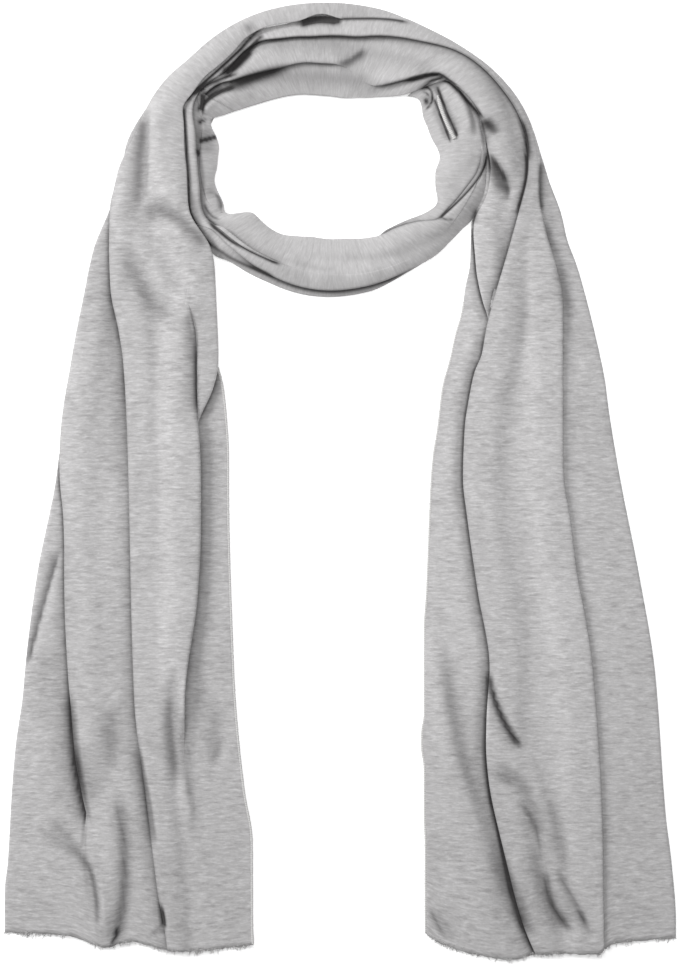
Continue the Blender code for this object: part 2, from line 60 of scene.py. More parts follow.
# Widths are distances out from the neck's middle. Tails are read by their drop below the neck's
# middle, the loop by its turn in degrees. A fold is an edge that shows, a tuck one that's hidden.
# A station is a place along the piece, counted from the neck's middle. The rows of rise, by station,
# say how high each further layer stands, and those of crown how far the middle is rounded up.
firstWrap = {
    "name": "first_wrap",
    "nodes": ("left_tail", "outer_arc"),
    "tailWay": -1,  # which way its stations count down the tail
    "loopWay": 1,  # and round the loop
    "side": -1,  # left of the neck
    "span": (-cloth["tailLength"], 122 * cloth["loopRule"]),
    "stations": 236,
    "columns": "back outer tuckA foldA tuckB foldB foldC tuckC foldT tuckT inner",
    "pile": (0, 1, 2, 3, 4, 9, 8, 7, 6, 5),  # the order in which its layers come down
    "pleats": (2, 4, 6, 8),  # the layers that run back under a fold
    "points": (22, 20, 9, 16, 9, 26, 12, 12, 12, 20),  # across each layer
    "rise": ((-496, 1.2), (-400, 1.7), (-80, 1.7), (0, 1.0), (25, 0.6), (140, 0.5), (185, 0.25)),
    "crown": ((-496, 2.0), (-440, 3.6), (-200, 4.4), (-60, 4.4), (0, 3.2), (40, 1.0), (205, 0.1)),
    # Beside a fold: the layers it moves and the fold, height, width outwards and inwards, from where
    # to where, and how far the ends fade.
    # a dip, and a fold's turn, there also get painted shade
    "beside": (
        ((1, 2, 3), "foldB", -2.0, 16, 8, ("tail", 60, 205), 60),
        ((1, 2, 3), "foldB", -2.0, 4.5, 6, ("tail", 30, 500), 40),
        ((4, 5), "foldB", 0.6, 4, 9, ("tail", 20, 500), 30),
        ((5, 6), "foldC", -1.5, 9, 6, ("tail", 95, 166), 26),
        ((7,), "foldC", 0.4, 5, 5, ("tail", 90, 166), 20),
        ((8, 9), "foldC", -1.4, 6, 7, ("tail", 172, 360), 24),
        ((5, 6), "foldC", 0.5, 8, 4, ("tail", 172, 350), 30),
        ((9,), "foldT", -2.0, 8, 6, ("tail", 124, 166), 12),
        ((1,), "foldA", -2.0, 4.5, 6, ("tail", 192, 430), 24),
        ((1,), "foldA", -2.2, 14, 8, ("tail", 325, 430), 40),
        ((2, 3), "foldA", 0.6, 4, 8, ("tail", 192, 400), 30),
    ),
    "tail": {
        "back": ((0, 120), (24.7, 118), (54, 96), (86.5, 80), (128, 75), (166, 70), (203.5, 68),
            (281, 66), (328, 65), (379, 61), (431, 54), (463, 53), (496.5, 52)),
        "outer": ((0, 130), (24.7, 138.5), (54, 150), (86.5, 157), (128, 165), (166, 172),
            (187.8, 175.4), (203.5, 177.4), (265.9, 189.8), (328.2, 197.6), (343.9, 198.9),
            (375.1, 203.4), (406.2, 206), (453.1, 208.7), (468.7, 210.6), (496.5, 210.6)),
        "tuckA": ((0, 122), (24.7, 129), (54, 139), (86.5, 146), (128, 155), (166, 160), (203.5, 161),
            (281, 157), (328, 155), (379, 151), (400, 154), (418, 157), (440, 158.5), (463, 156),
            (496.5, 153)),
        "foldA": ((0, 133.5), (24.7, 141), (54, 152.8), (86.5, 159.6), (109.9, 164.4), (128, 167.5),
            (166, 173.5), (187.8, 174.8), (203.5, 174.5), (223.6, 172.4), (243.8, 171.5),
            (284.1, 171.1), (328.6, 169), (350, 167.2), (385, 164.2), (400, 161.3), (418, 157.6),
            (440, 151), (463, 146), (496.5, 144)),
        "tuckB": ((0, 118), (24.7, 122), (54, 126), (86.5, 125), (128, 119), (166, 117), (203.5, 115.5),
            (281, 113), (328, 112), (379, 109), (431, 104), (463, 100.5), (496.5, 96)),
        "foldB": ((0, 136.4), (16.2, 139.8), (24.7, 141.8), (50.7, 142.2), (80.6, 141.2),
            (106.3, 136.2), (126.1, 133.2), (170, 130.7), (344.5, 126.1), (405.3, 119), (465.9, 110.9),
            (486.1, 106), (496.5, 104.7)),
        "foldC": ((0, 104), (24.7, 103), (54, 97), (75, 93), (90.4, 90.5), (106.3, 86.5), (120.2, 85.5),
            (140.1, 85.5), (203.5, 82.6), (233.7, 82.6), (263.9, 83.7), (287.9, 85.7), (328.6, 91.7),
            (348.8, 93.1), (379, 93.5), (431, 92.5), (463, 91), (496.5, 87)),
        "tuckC": ((0, 102), (24.7, 101), (54, 95), (75, 91), (90.4, 93), (106.3, 98), (128, 100),
            (166, 99), (203.5, 98), (281, 99), (328, 101), (349, 99), (379, 95), (410, 91.5),
            (431, 90.5), (463, 89), (496.5, 85)),
        "foldT": ((0, 92.2), (24.7, 91), (31, 89.9), (53, 76.4), (63.1, 74.2), (86.5, 73),
            (125.5, 71.6), (130, 71.8), (144.1, 75), (166, 84.5), (185, 88), (203.5, 89), (281, 91),
            (328, 95), (349, 95.5), (379, 93), (410, 89.5), (431, 88.5), (463, 87), (496.5, 83)),
        "tuckT": ((0, 103), (24.7, 100), (54, 88), (86.5, 86), (128, 90), (166, 99), (203.5, 99.5),
            (281, 101), (328, 102), (349, 99), (379, 92), (410, 87.5), (431, 86.5), (463, 85),
            (496.5, 81)),
        "inner": ((0, 97), (24.7, 95), (54, 80), (86.5, 76.5), (125.5, 73), (140, 69.2), (156.7, 67.1),
            (187.8, 65.2), (203.5, 65.2), (328.2, 61.8), (359.4, 59.8), (406.2, 54.8), (437.4, 49.8),
            (484.2, 49.6), (496.5, 49)),
    },
    "loop": {},  # over the top it is one narrow band, with its layers shared out between its edges
    "band": {
        "outer": ((0, 136), (5.4, 130.7), (9, 127.4), (12.8, 125.2), (16.6, 124.1), (20.7, 122.7),
            (27.4, 119.4), (30.1, 118), (35.8, 114.1), (41.3, 112.5), (47.3, 111.5), (60.9, 109.4),
            (81.2, 106.2), (89.3, 105.7), (97.4, 106.1), (112, 108), (116, 108.3), (120.2, 107.9),
            (122, 107)),
        "inner": ((0, 92.2), (3.8, 93.3), (10.4, 95.2), (18, 98.8), (21.9, 102.4), (26.9, 99.8),
            (36.4, 98.1), (41.7, 95.8), (47.2, 95.4), (52.1, 96.3), (56.7, 98.6), (63, 98.8),
            (78.6, 95.4), (82.3, 97.2), (86.6, 98.9), (90.4, 97.8), (93.9, 95.6), (104.8, 98.3),
            (112, 101.2), (117, 103), (122, 103.6)),
        "share": {"back": 0.2, "outer": 0.94, "tuckA": 0.34, "foldA": 0.97, "tuckB": 0.28, "foldB": 1.0,
            "foldC": 0.5, "tuckC": 0.44, "foldT": 0.0, "tuckT": 0.55, "inner": 0.08},
        "blend": 22,  # degrees over which the tail's layers close up into the band
        "atOnce": ("foldT", "foldB"),  # these two don't wait: they lie at the band's edges from the start
    },
    # By distance out, how far the raw end hangs below the tail's length.
    "hem": ((47.4, 8.6), (93, 12.8), (105, 12), (130, 6), (144, 10.4), (170, 2.4), (210.6, 0.8)),
    # Soft folds: height, width left and right of the line, how far the ends fade, and the line.
    # a sunken fold, and the foot of a steep one, also get painted shade
    "folds": (
        (3.6, 9, 5, 14, ((-119, 249.1), (-121.5, 232.8), (-124.2, 210.1), (-125.5, 193.8),
            (-125.5, 182.8))),
        (-3, 5, 8, 14, ((-126.8, 237.4), (-129.3, 223.1), (-130.7, 206.8), (-131.3, 190.6),
            (-132, 176.3), (-130.7, 161.3))),
        (-3.6, 4, 6, 10, ((-124.2, 181.5), (-114.4, 176.9), (-102, 169.8), (-91.7, 159.4),
            (-83.9, 147.7))),
        (3.8, 6, 4.5, 10, ((-122.9, 186.7), (-109.9, 184.7), (-98.2, 176.3), (-88.4, 164.6))),
        (-3.4, 6, 5, 26, ((-138.5, 158.1), (-134.6, 139.9), (-125.5, 121.7), (-114.4, 109.3),
            (-98.2, 98.9))),
        (3.2, 7, 6, 14, ((-130, 163.3), (-124.2, 143.8), (-113.8, 126.9), (-102, 115.2),
            (-94.2, 102.8))),
        (3.4, 4, 5, 16, ((-98.2, -120.1), (-101.4, -140.9), (-102, -166.9), (-100.1, -199.4),
            (-96.9, -225.4))),
        (-3.2, 4, 4, 12, ((-108.5, -120.1), (-108.5, -143.5), (-106.6, -169.5), (-103.4, -199.4))),
        (-3, 5, 4, 8, ((-79.3, -144.8), (-81.2, -163.7), (-82.5, -183.2))),
        (-1.2, 7, 7, 14, ((-185.2, -108.4), (-189.2, -134.4), (-191.8, -166.9))),
        (3.6, 2.2, 13, 10, ((-148.2, -199.4), (-144.3, -215.7), (-142.3, -235.2), (-141.9, -256.3),
            (-143.9, -280.5), (-150.2, -300.2))),
        (3.6, 9, 2.5, 10, ((-195.7, -217.6), (-181.3, -231.9), (-165.8, -239.7), (-158, -252.7),
            (-155.3, -274.2), (-156, -293.7))),
        (1.8, 10, 1.2, 12, ((-180.2, -43.5), (-191.4, -84.7), (-199.6, -109), (-203.5, -123.1))),
        (-1, 8, 8, 15, ((-168.3, -168.2), (-164.5, -189.7), (-158.6, -205.9))),
        (1, 9, 9, 20, ((-158, -49.9), (-156.7, -88.9), (-151.5, -134.4), (-148.8, -179.9))),
    ),
    # Creases: how dark the painted shade along them is and how deep, width left and right of the line,
    # how far the ends fade, and the line.
    "creases": (
        topDip,
        (0.45, 0.6, 3.2, 2.2, 5, ((-63.1, 297.8), (-59.8, 293.9), (-57.2, 290))),
        (0.12, 0, 1.3, 1.3, 5, ((-100.2, 130.8), (-99, 123), (-97.8, 113.9))),
        (0.2, 0, 1.2, 1.2, 5, ((-165.8, -213.7), (-166, -225.4), (-166, -237.1))),
        (0.2, 0.4, 7, 7, 16, ((-171, -166.9), (-168.3, -183.2), (-164.5, -199.4), (-161.8, -211.1))),
        (0.12, 0.4, 9, 9, 22, ((-154.1, -140.9), (-148.8, -166.9), (-143.7, -186.4))),
        (0.2, 0.6, 1, 8, 14, ((-123.5, 243.9), (-124.2, 226.3), (-124.8, 210.1), (-125.5, 193.8),
            (-125.5, 182.1))),
        (0.34, 1.5, 2, 4.2, 8, ((-126.1, 182.8), (-122.9, 175.6), (-117.7, 168.5))),
        (0.26, 1, 1, 4.5, 12, ((-100.8, 112.6), (-96.9, 100.9), (-93.9, 85.3), (-93.3, 63.8),
            (-92.6, 42.4))),
        (0.45, 0.5, 0.8, 4.5, 14, ((-182, -40.8), (-187.8, -61.6), (-194.3, -84.4), (-199.6, -105.2),
            (-204.1, -121.4))),
        (0.35, 1.5, 1.2, 6, 16, ((-131.3, -165.6), (-127.4, -186.4), (-122.9, -209.8), (-119, -238.4))),
        (0.9, 2, 1.4, 1.6, 5, ((-117, -272.2), (-115, -280), (-113.8, -289.8))),
        (0.5, 1.5, 2.4, 5, 14, ((-176.2, -134.4), (-173.6, -160.4), (-170.3, -186.4), (-166.4, -207.9),
            (-161.8, -222.8))),
        (0.3, 2, 5, 1.6, 16, ((-148.8, -202), (-144.3, -217.6), (-141.7, -235.2), (-141.4, -257.9),
            (-143.7, -280), (-148.8, -298.2))),
        (0.6, 1.5, 2, 1.2, 4, ((-144.3, -287.2), (-146.9, -294.3), (-150.2, -300.2))),
        (0.28, 1.5, 3, 4, 14, ((-193.1, -215), (-178.8, -226.1), (-164.5, -244.9), (-159.2, -264.4),
            (-156, -287.2))),
        (0.28, 1.2, 3, 3, 14, ((-109.9, -134.4), (-111.2, -153.9), (-109.9, -173.4), (-106, -192.9))),
        (0.3, 1.2, 2.6, 2.6, 12, ((-100.8, -144.2), (-102, -163.7), (-100.1, -185.1), (-97.5, -209.2))),
        (0.22, 1, 3, 3, 10, ((-77.4, -163.7), (-80.6, -174.7), (-84.5, -185.1))),
        (0.25, 1, 3, 5, 14, ((-146.2, -140.9), (-148.8, -166.9), (-146.2, -189.7))),
        (0.16, 0.5, 3, 5, 30, ((-136.5, 154.8), (-132.6, 138.6), (-124.2, 120.4), (-112.5, 107.4),
            (-98.2, 97))),
        (0.3, 1, 3, 4, 10, ((-124.8, 180.8), (-117.7, 176.9), (-106, 171.7), (-94.2, 161.3),
            (-85.2, 150.3))),
        (0.25, 1, 3, 4, 12, ((-126.1, 241.3), (-129.3, 225.7), (-130.7, 206.8), (-131.3, 190.6),
            (-131.3, 174.3))),
        (0.3, 1, 2, 2, 8, ((-114.4, -287.2), (-121.5, -291.1), (-125.5, -296.9))),
    ),
    "wrinkles": {"seed": 4, "count": 34, "height": 0.35, "box": (-210, -300, -50, 190)},
}

# The loop's creases, with their painted shade, which two pieces share.
loopCreases = (
    (0.7, 0.6, 1.1, 1.1, 8, ((-87.8, 170.4), (-78.7, 162.3), (-69.5, 154.8), (-53.3, 146.7),
        (-37.1, 139.9))),
    (0.5, 0.6, 1.1, 1.2, 8, ((-87.1, 158.1), (-80.6, 151.6), (-65, 142.5), (-41.6, 133.4))),
    topDip,
    (0.5, 0.5, 2.6, 1.4, 6, ((115.7, 237.4), (120.2, 226.3), (121.5, 216.6), (121.5, 208.1))),
    (0.4, 0.6, 3, 4.5, 7, ((92.3, 238.7), (96.9, 232.2), (102, 224.4))),
    (0.3, 0.6, 4, 4, 7, ((96.2, 210.1), (98.2, 202.3), (102, 194.5), (105.3, 186.7))),
    (0.3, 0.2, 5, 6, 14, ((-76, 255.6), (-65.7, 259.5), (-51.4, 262.1), (-26.7, 264), (5.9, 262.1),
        (28.6, 256.9))),
    (0.17, 0.2, 4, 7, 16, ((-51.4, 280.3), (-26.7, 282.9), (2.6, 282.2), (38.4, 275.1), (64.4, 268.6))),
    (0.16, 0.4, 4, 4, 10, ((43.6, 263.4), (54.6, 267.3), (65.7, 266))),
    (0.6, 0.2, 1.5, 1.5, 4, ((-88.4, 254.3), (-90, 249.1), (-89.7, 242.6), (-88.4, 237.4))),
    (0.8, 0.6, 1.1, 1.1, 8, ((120.2, 216.6), (120.9, 206.2), (119.6, 195.8), (116.7, 185.4),
        (113.4, 173.7))),
    (0.7, 1, 1.8, 1, 5, ((-51.4, 296.5), (-60.5, 286.8), (-64.4, 281.6), (-72.2, 273.8), (-81.2, 265.3),
        (-88.4, 259.5), (-94.2, 254.3), (-98.2, 249.7), (-102, 245.2))),
    (0.75, 1.5, 1.3, 1.3, 5, ((-50.1, 291.3), (-56.6, 284.2), (-62.4, 277), (-67.6, 271.8),
        (-72.2, 268.6), (-78, 264))),
    (0.8, 2, 2.2, 2.4, 5, ((-56.6, 280.9), (-61.8, 274.4), (-67, 269.2), (-72.8, 266), (-77.4, 263.4))),
    (0.55, 1, 1, 1.4, 5, ((-96.2, 249.7), (-90.4, 255.6), (-83.9, 259.5), (-76, 262.4), (-65.7, 265))),
    (0.8, 2, 1.4, 2, 5, ((-94.2, 240.6), (-90.4, 244.5), (-86.5, 248.4), (-80.6, 252.7), (-75.4, 254.9),
        (-68.2, 257.5))),
    (0.45, 1.5, 2.4, 4.5, 14, ((-77.4, 254.3), (-68.2, 258.2), (-59.1, 262.1), (-50.1, 265.7),
        (-39.6, 268.3), (-29.2, 270.2))),
    (0.3, 1, 3, 3, 8, ((-95.5, 244.5), (-89, 250.4), (-81.2, 256.2), (-73.5, 259.5))),
    (0.4, 1, 1.4, 3.5, 6, ((-3.2, 271.2), (4.5, 273.1), (11.1, 277.7), (16.9, 282.2))),
    (2.2, 2, 1.6, 3.4, 4, ((-28.6, 298.2), (-21.4, 300.2), (-13.7, 301.6), (-5.9, 300.8),
        (0.7, 299.8))),
    (0.8, 1.5, 1, 1.2, 6, ((-102, 245.8), (-101.4, 236.1), (-100.4, 223.1), (-99.8, 210.1),
        (-98.8, 200.3), (-98.5, 190.6), (-98.2, 180.8), (-97.5, 175), (-93.6, 167.8), (-87.8, 158.7),
        (-82.5, 151.6))),
    (0.16, 1.2, 1.6, 1.4, 5, ((-93, 238.7), (-92.3, 232.2), (-92, 223.1), (-92.6, 214.6), (-91, 204.9),
        (-89.7, 191.9), (-91, 182.1), (-89.7, 175.6), (-86.5, 170.4), (-78.7, 163.3))),
    (0.6, 2.0, 1.5, 1.5, 3, ((-93.6, 233.2), (-90.4, 234.8), (-86.5, 236.4))),
    (0.75, 2.4, 1.5, 1.5, 3, ((-93, 221.8), (-87.8, 222.8), (-83.2, 224.4), (-79.3, 225))),
    (0.7, 1.5, 1.1, 1.1, 3, ((-93.9, 217.2), (-92.6, 214.6), (-92.3, 211.4))),
    (0.3, 1.5, 5, 6, 6, ((-89, 232.2), (-87.1, 227), (-85.2, 219.2), (-85.8, 211.4))),
    (0.45, 1.5, 1, 1.6, 4, ((-82.5, 188.6), (-79.3, 186), (-77.4, 181.5), (-78, 176.3))),
    (0.4, 1.2, 1, 1, 4, ((-89, 182.1), (-87.1, 176.9), (-83.2, 172.4), (-78, 169.8))),
    (0.35, 1, 1, 1, 4, ((-74.8, 182.1), (-72.8, 178.2), (-71.5, 175))),
    (0.3, 1.2, 3, 3, 6, ((-89, 186.7), (-83.9, 189.3), (-79.3, 188))),
    (0.75, 1.2, 0.9, 1.8, 8, ((39.6, 260.5), (51.4, 262.7), (57.9, 264.7), (61.8, 265.7), (66.3, 263.4),
        (72.2, 258.8), (78.7, 252.3), (85.2, 245.2), (91, 238), (93.6, 234.1))),
    (0.75, 2, 0.9, 0.9, 3, ((60.5, 250.4), (63.7, 241.3), (67.6, 230.9), (71.5, 220.5))),
    (0.75, 2, 0.9, 0.9, 3, ((62.4, 258.2), (65, 251), (68.2, 240.6), (72.2, 231.5), (76, 223.7))),
    (0.95, 3, 1.6, 1.6, 3, ((54.3, 251), (55.2, 248.4), (56.6, 245.2))),
    (0.6, 1, 0.8, 0.8, 3, ((50.1, 256.2), (54.6, 257.5), (58.5, 255.6), (59.8, 251), (58.8, 246.5),
        (54.6, 241.9))),
    (0.5, 0.8, 0.7, 0.7, 3, ((52.6, 253.6), (55.9, 253.6), (57.5, 250.4))),
    (0.6, 1.5, 1.3, 1.3, 4, ((50.7, 254.9), (55.9, 258.2), (60.5, 262.7))),
    (0.45, 1.5, 5, 3, 6, ((91, 236.7), (94.2, 232.2), (98.2, 228.9), (102.7, 223.7))),
    (0.3, 1.2, 3.5, 1.6, 6, ((91, 237.4), (92.3, 229.6), (93.6, 222.4), (94.2, 216.6))),
    (0.65, 1, 0.9, 0.9, 4, ((94.9, 215.3), (93.6, 206.2), (89.7, 198.4), (83.9, 190.6), (74.1, 180.2),
        (63.7, 171.1))),
    (0.5, 0.8, 0.8, 0.8, 3, ((63.1, 171.4), (68.2, 170.8), (73.5, 170.1))),
    (0.45, 2.4, 1.6, 1.6, 5, ((95.5, 214), (99.5, 208.1), (104, 202.3), (108.5, 194.5))),
    (0.42, 2.2, 1.6, 6.5, 7, ((95.5, 213.3), (98.8, 208.1), (103.4, 201.6), (107.9, 193.8),
        (107.9, 184.1))),
    (0.3, 1, 1.2, 3, 5, ((108.5, 194.5), (109.2, 188.6), (107.2, 181.5))),
    (0.6, 1.5, 1.5, 1.5, 5, ((89, 180.2), (86.5, 174.3), (85.2, 167.2))),
)

secondWrap = {
    "name": "second_wrap",
    "nodes": ("upper_loop", "right_tail"),
    "tailWay": 1,
    "loopWay": -1,
    "side": 1,  # right of the neck
    "span": (-150 * cloth["loopRule"], cloth["tailLength"]),
    "stations": 246,
    "columns": "inner tuckC foldC tuckB foldB foldF tuckF outer back",
    "pile": (7, 0, 1, 2, 3, 6, 5, 4),
    "pleats": (1, 3, 5),
    "points": (30, 10, 20, 10, 26, 10, 20, 28),
    "rise": ((-262, 1.5), (-20, 1.6), (80, 1.8), (400, 1.8), (496, 1.2)),
    "crown": ((-262, 4.6), (-170, 5.0), (-60, 4.4), (0, 3.2), (60, 3.4), (150, 4.4), (430, 3.8),
        (496, 2.0)),
    "beside": (
        ((0, 1, 2), "foldB", -2.4, 6, 4.5, ("tail", 105, 500), 26),
        ((0, 1, 2), "foldB", -1.6, 6, 20, ("tail", 360, 500), 60),
        ((2,), "foldB", -2.2, 5, 4.5, ("tail", -10, 102), 24),
        ((4, 3), "foldB", 0.6, 9, 4, ("tail", 0, 330), 30),
        ((4, 3), "foldB", 0.5, 9, 4, ("tail", 380, 500), 30),
        ((0,), "foldC", -2.2, 5, 4.5, ("tail", 38, 100), 14),
        ((6,), "foldF", -1.2, 14, 8, ("tail", 0, 120), 50),
        ((6,), "foldF", 0.5, 6, 5, ("tail", 90, 500), 60),
        ((4, 5), "foldF", 0.15, 4, 9, ("tail", 40, 500), 30),
        ((2,), "foldB", -2.2, 5, 5, ("loop", 0, 150), 20),
        ((4, 3), "foldB", 0.9, 6, 3, ("loop", 5, 150), 20),
        ((0,), "foldC", -1.1, 4, 6, ("loop", 86, 120), 14),
        ((0,), "foldC", -2.2, 4, 6, ("loop", 120, 150), 14),
        ((2, 1), "foldC", 0.45, 8, 3, ("loop", 86, 120), 14),
        ((2, 1), "foldC", 0.9, 8, 3, ("loop", 120, 150), 14),
        ((0,), "foldC", -1.8, 4, 8, ("loop", 0, 58), 14),
        ((2, 1), "foldC", 1.2, 8, 3, ("loop", 6, 58), 14),
    ),
    "tail": {
        "inner": ((0, 102.3), (12.3, 101.8), (22, 99), (28.8, 95), (35.1, 92.5), (54, 91.9),
            (63.1, 91.7), (78.7, 88.4), (94.2, 86.5), (109.9, 81.9), (125.5, 78.7), (141.1, 74.1),
            (172.2, 70.2), (187.8, 67.6), (203.5, 66.3), (281.4, 63), (297.1, 61.8), (360, 61.8),
            (364, 60), (382, 60.2), (386, 61.8), (421.9, 61.8), (437.4, 62.4), (496.5, 62.4)),
        "tuckC": ((0, 113), (12, 112), (22, 108), (35, 101.5), (54, 104), (86.5, 110), (99.5, 112),
            (120, 106.5), (166, 97), (203.5, 95), (249, 101), (328, 111), (379, 108.5), (431, 115),
            (463, 124), (496.5, 136)),
        "foldC": ((0, 104.8), (12, 103.8), (22, 101), (28.8, 97), (35.1, 94), (45, 93.6), (54, 94.4),
            (68.1, 95.5), (86.8, 99.3), (99.5, 103.3), (120, 108), (166, 99), (203.5, 97), (249, 103),
            (328, 113), (379, 110.5), (431, 117), (463, 126), (496.5, 138)),
        "tuckB": ((0, 134.3), (11.7, 133), (24.7, 129.5), (54, 124), (86.5, 119), (128, 114),
            (166, 106), (203.5, 104), (249, 110), (328, 120), (379, 117.5), (431, 124), (463, 133),
            (496.5, 145)),
        "foldB": ((0, 129), (8.5, 128.3), (18.2, 126), (54, 116.2), (91.3, 105.2), (106.9, 101.4),
            (125.5, 98.2), (130, 95.2), (150.2, 90.7), (170, 87.8), (203.5, 86.7), (223.6, 88.9),
            (274.1, 96), (325.7, 104), (356.9, 102), (375.1, 101.6), (395.2, 103), (435.5, 111.2),
            (455.7, 117.2), (473.9, 124.2), (488.2, 130.3), (496.5, 134)),
        "foldF": ((0, 135.5), (6.5, 135.8), (21.5, 136.4), (33.1, 138.2), (47.3, 142), (69.5, 148.5),
            (80, 150.8), (90.4, 151.5), (171, 151.5), (203.5, 152.1), (223.6, 155.5), (263.9, 160.6),
            (294.4, 166.4), (324.4, 170.7), (415.4, 176.7), (496.5, 178.6)),
        "tuckF": ((0, 136.9), (15, 136.4), (30, 134.6), (54, 133), (86.5, 137), (171, 137),
            (203.5, 137), (249, 143), (328, 155), (379, 158), (431, 161), (496.5, 163)),
        "outer": ((0, 140), (8.5, 142.6), (31.9, 151.2), (47.5, 154.6), (63.1, 160.6), (78.7, 165.2),
            (109.9, 173.1), (141.1, 179.6), (156.7, 181.5), (203.5, 189.3), (265.9, 201.6),
            (328.2, 211.8), (421.9, 218.8), (453.1, 222.7), (484.2, 225.3), (496.5, 225.3)),
        "back": ((0, 112), (11.7, 109), (24.7, 105), (54, 97), (86.5, 92), (128, 83), (166, 76),
            (203.5, 71), (249, 69), (328, 67), (496.5, 67)),
    },
    "loop": {
        "inner": ((0, 102.3), (6, 102.6), (15, 103.4), (24, 102.5), (31, 99), (36, 95), (38.6, 88),
            (40.2, 78), (42, 70.5), (44, 66.5), (51.3, 58.3), (62.4, 50.6), (80.9, 45.4), (95.6, 46.4),
            (111.9, 50.5), (125.4, 55), (136.3, 60.2), (147.4, 68.7), (150, 71.7)),
        "tuckC": ((0, 113), (15, 111), (30, 105.5), (37, 99), (45, 90), (52, 80), (60, 68), (66, 58),
            (72, 58.5), (80, 66), (90, 75), (105, 78), (120, 81), (135, 89), (150, 98)),
        "foldC": ((0, 104.8), (6, 103.4), (15, 102.6), (20.5, 102.4), (29.3, 98.6), (32.8, 95.9),
            (41.7, 91), (43.2, 86.1), (46.3, 78.2), (50, 71.8), (55.3, 64), (62, 59), (68, 59.5),
            (75, 62.5), (84.4, 65.5), (94.1, 66.3), (103.5, 68.6), (112.9, 70.1), (119.6, 71.9),
            (128.9, 76.4), (135.2, 80.8), (139.4, 84), (143.5, 89.5), (150, 92.5)),
        "tuckB": ((0, 134.3), (15, 130.3), (30, 120.5), (37, 116), (45, 111), (52, 106.5), (60, 101.5),
            (75, 94), (90, 91), (105, 92.5), (120, 98), (135, 98), (150, 101.5)),
        "foldB": ((0, 129), (6.6, 129.4), (11.6, 128.6), (15.9, 127.2), (25.9, 121.9), (31.6, 119.1),
            (40.4, 113.4), (54.1, 99.9), (60.2, 95.6), (66.7, 91.5), (80.5, 84.7), (95.8, 84),
            (104.7, 86.3), (110.5, 88), (115.1, 90.3), (118.9, 92.5), (125.8, 92.5), (131.6, 91.1),
            (137.4, 90.5), (140.4, 91.3), (145.6, 94.3), (150, 96.5)),
        "foldF": ((0, 135.5), (15, 131.2), (30, 122.6), (45, 112.8), (60, 105.4), (75, 96.6),
            (90, 93.4), (105, 94), (120, 98.2), (135, 101), (150, 104.5)),
        "tuckF": ((0, 136.9), (15, 132.6), (30, 124), (45, 114.2), (60, 106.4), (75, 97.8), (90, 94.6),
            (105, 95), (120, 99.4), (135, 102.4), (150, 106)),
        "outer": ((0, 140), (3.8, 137.2), (16, 132.1), (27.3, 125.5), (41.6, 116.4), (56, 109.8),
            (59.8, 109.2), (64, 108.3), (70, 106.5), (75, 103), (82, 102), (90, 101.5), (96, 99.5),
            (105, 96.5), (120, 101), (135, 104.5), (150, 108.5)),
        "back": ((0, 112), (15, 111), (30, 105), (37, 98), (45, 86), (52, 72), (60, 60), (75, 56),
            (90, 55), (105, 57), (120, 62), (135, 68), (150, 80)),
    },
    "hem": ((62.4, 1.4), (72, 8), (111, 17.8), (122.2, 18.8), (134, 14.4), (176.5, 14.2), (180.5, 8),
        (226.2, 4.4)),
    "folds": (
        (2.6, 6, 8, 18, ((59.8, -94.8), (66, -135.1), (72.2, -175.4), (83.9, -209.8), (94.2, -240.4),
            (103.4, -270.9))),
        (-1.2, 6, 5, 50, ((68.9, -101.9), (73.5, -140.9), (81.2, -175.4), (91.7, -205.9),
            (100.1, -231.9))),
        (1.2, 5, 5, 8, ((57.9, -264.4), (62.4, -278.7), (70.9, -293))),
        (-3.6, 5, 5, 9, ((126.8, -235.2), (129.3, -248.8), (132.6, -263.1), (140.4, -280.7),
            (150.2, -291.7))),
        (2.4, 5, 5, 9, ((135.2, -238.4), (138.5, -252.7), (144.3, -270.3), (152.1, -280.7))),
        (-2.8, 4, 4, 8, ((142.3, -250.1), (146.9, -263.1), (152.8, -277.4), (158, -290.4))),
        (1.6, 3, 9, 12, ((118.3, -171.5), (126.8, -191.6), (130.7, -209.8), (134.6, -230),
            (137.2, -244.9))),
        (-1.8, 0.8, 3.5, 8, ((96.5, -122), (99, -137.2), (104, -153.3), (110, -165.5), (115, -172.5))),
        (2.4, 9, 1.6, 8, ((96.2, -120.1), (100.3, -137.2), (106.3, -153.3), (112.4, -165.5),
            (118.4, -171.5))),
        (-1.4, 4, 4, 8, ((98.2, -183.2), (106.6, -187.7), (116.4, -194.2), (125.5, -204))),
        (-3, 3.5, 6, 7, ((94.2, 217.9), (98.8, 210.1), (103.4, 203.6), (107.9, 196.4), (109.2, 187.3))),
        (-1, 6, 6, 10, ((139.8, 143.8), (146.2, 125.6), (150.2, 102.8))),
        (1.6, 7, 2.5, 8, ((-7.2, 271.2), (2.6, 272.8), (10.5, 278.3), (16.2, 281.9))),
        (1.4, 2.5, 5, 6, ((-94.9, 240.7), (-89.3, 245.1), (-83.2, 249.4), (-76.9, 252.9),
            (-70.1, 252.9), (-55.9, 253.2))),
        (1.2, 3, 4, 6, ((-67.6, 264.7), (-63.2, 271.8), (-55.8, 276.8), (-46.4, 281.8),
            (-35.8, 286.8))),
        (1.2, 3, 2.5, 10, ((93.6, 267.3), (101.4, 256.9), (107.9, 247.1), (114.4, 235.8),
            (118.3, 224.5), (119.9, 213.3), (119.6, 197.1), (117, 185.4), (112.5, 169.8))),
    ),
    "creases": loopCreases + (
        (0.5, 0.6, 2.6, 1, 6, ((130.3, 210.1), (128.7, 203.6), (128.4, 193.8), (128.7, 184.1),
            (130, 174.3))),
        (0.25, 0.5, 3, 1.2, 14, ((130, 175), (132.6, 164.6), (135.8, 154.2), (139.1, 142.5))),
        (0.3, 0, 1.2, 1.2, 4, ((99.1, 128.2), (98.5, 123), (96.9, 117.1))),
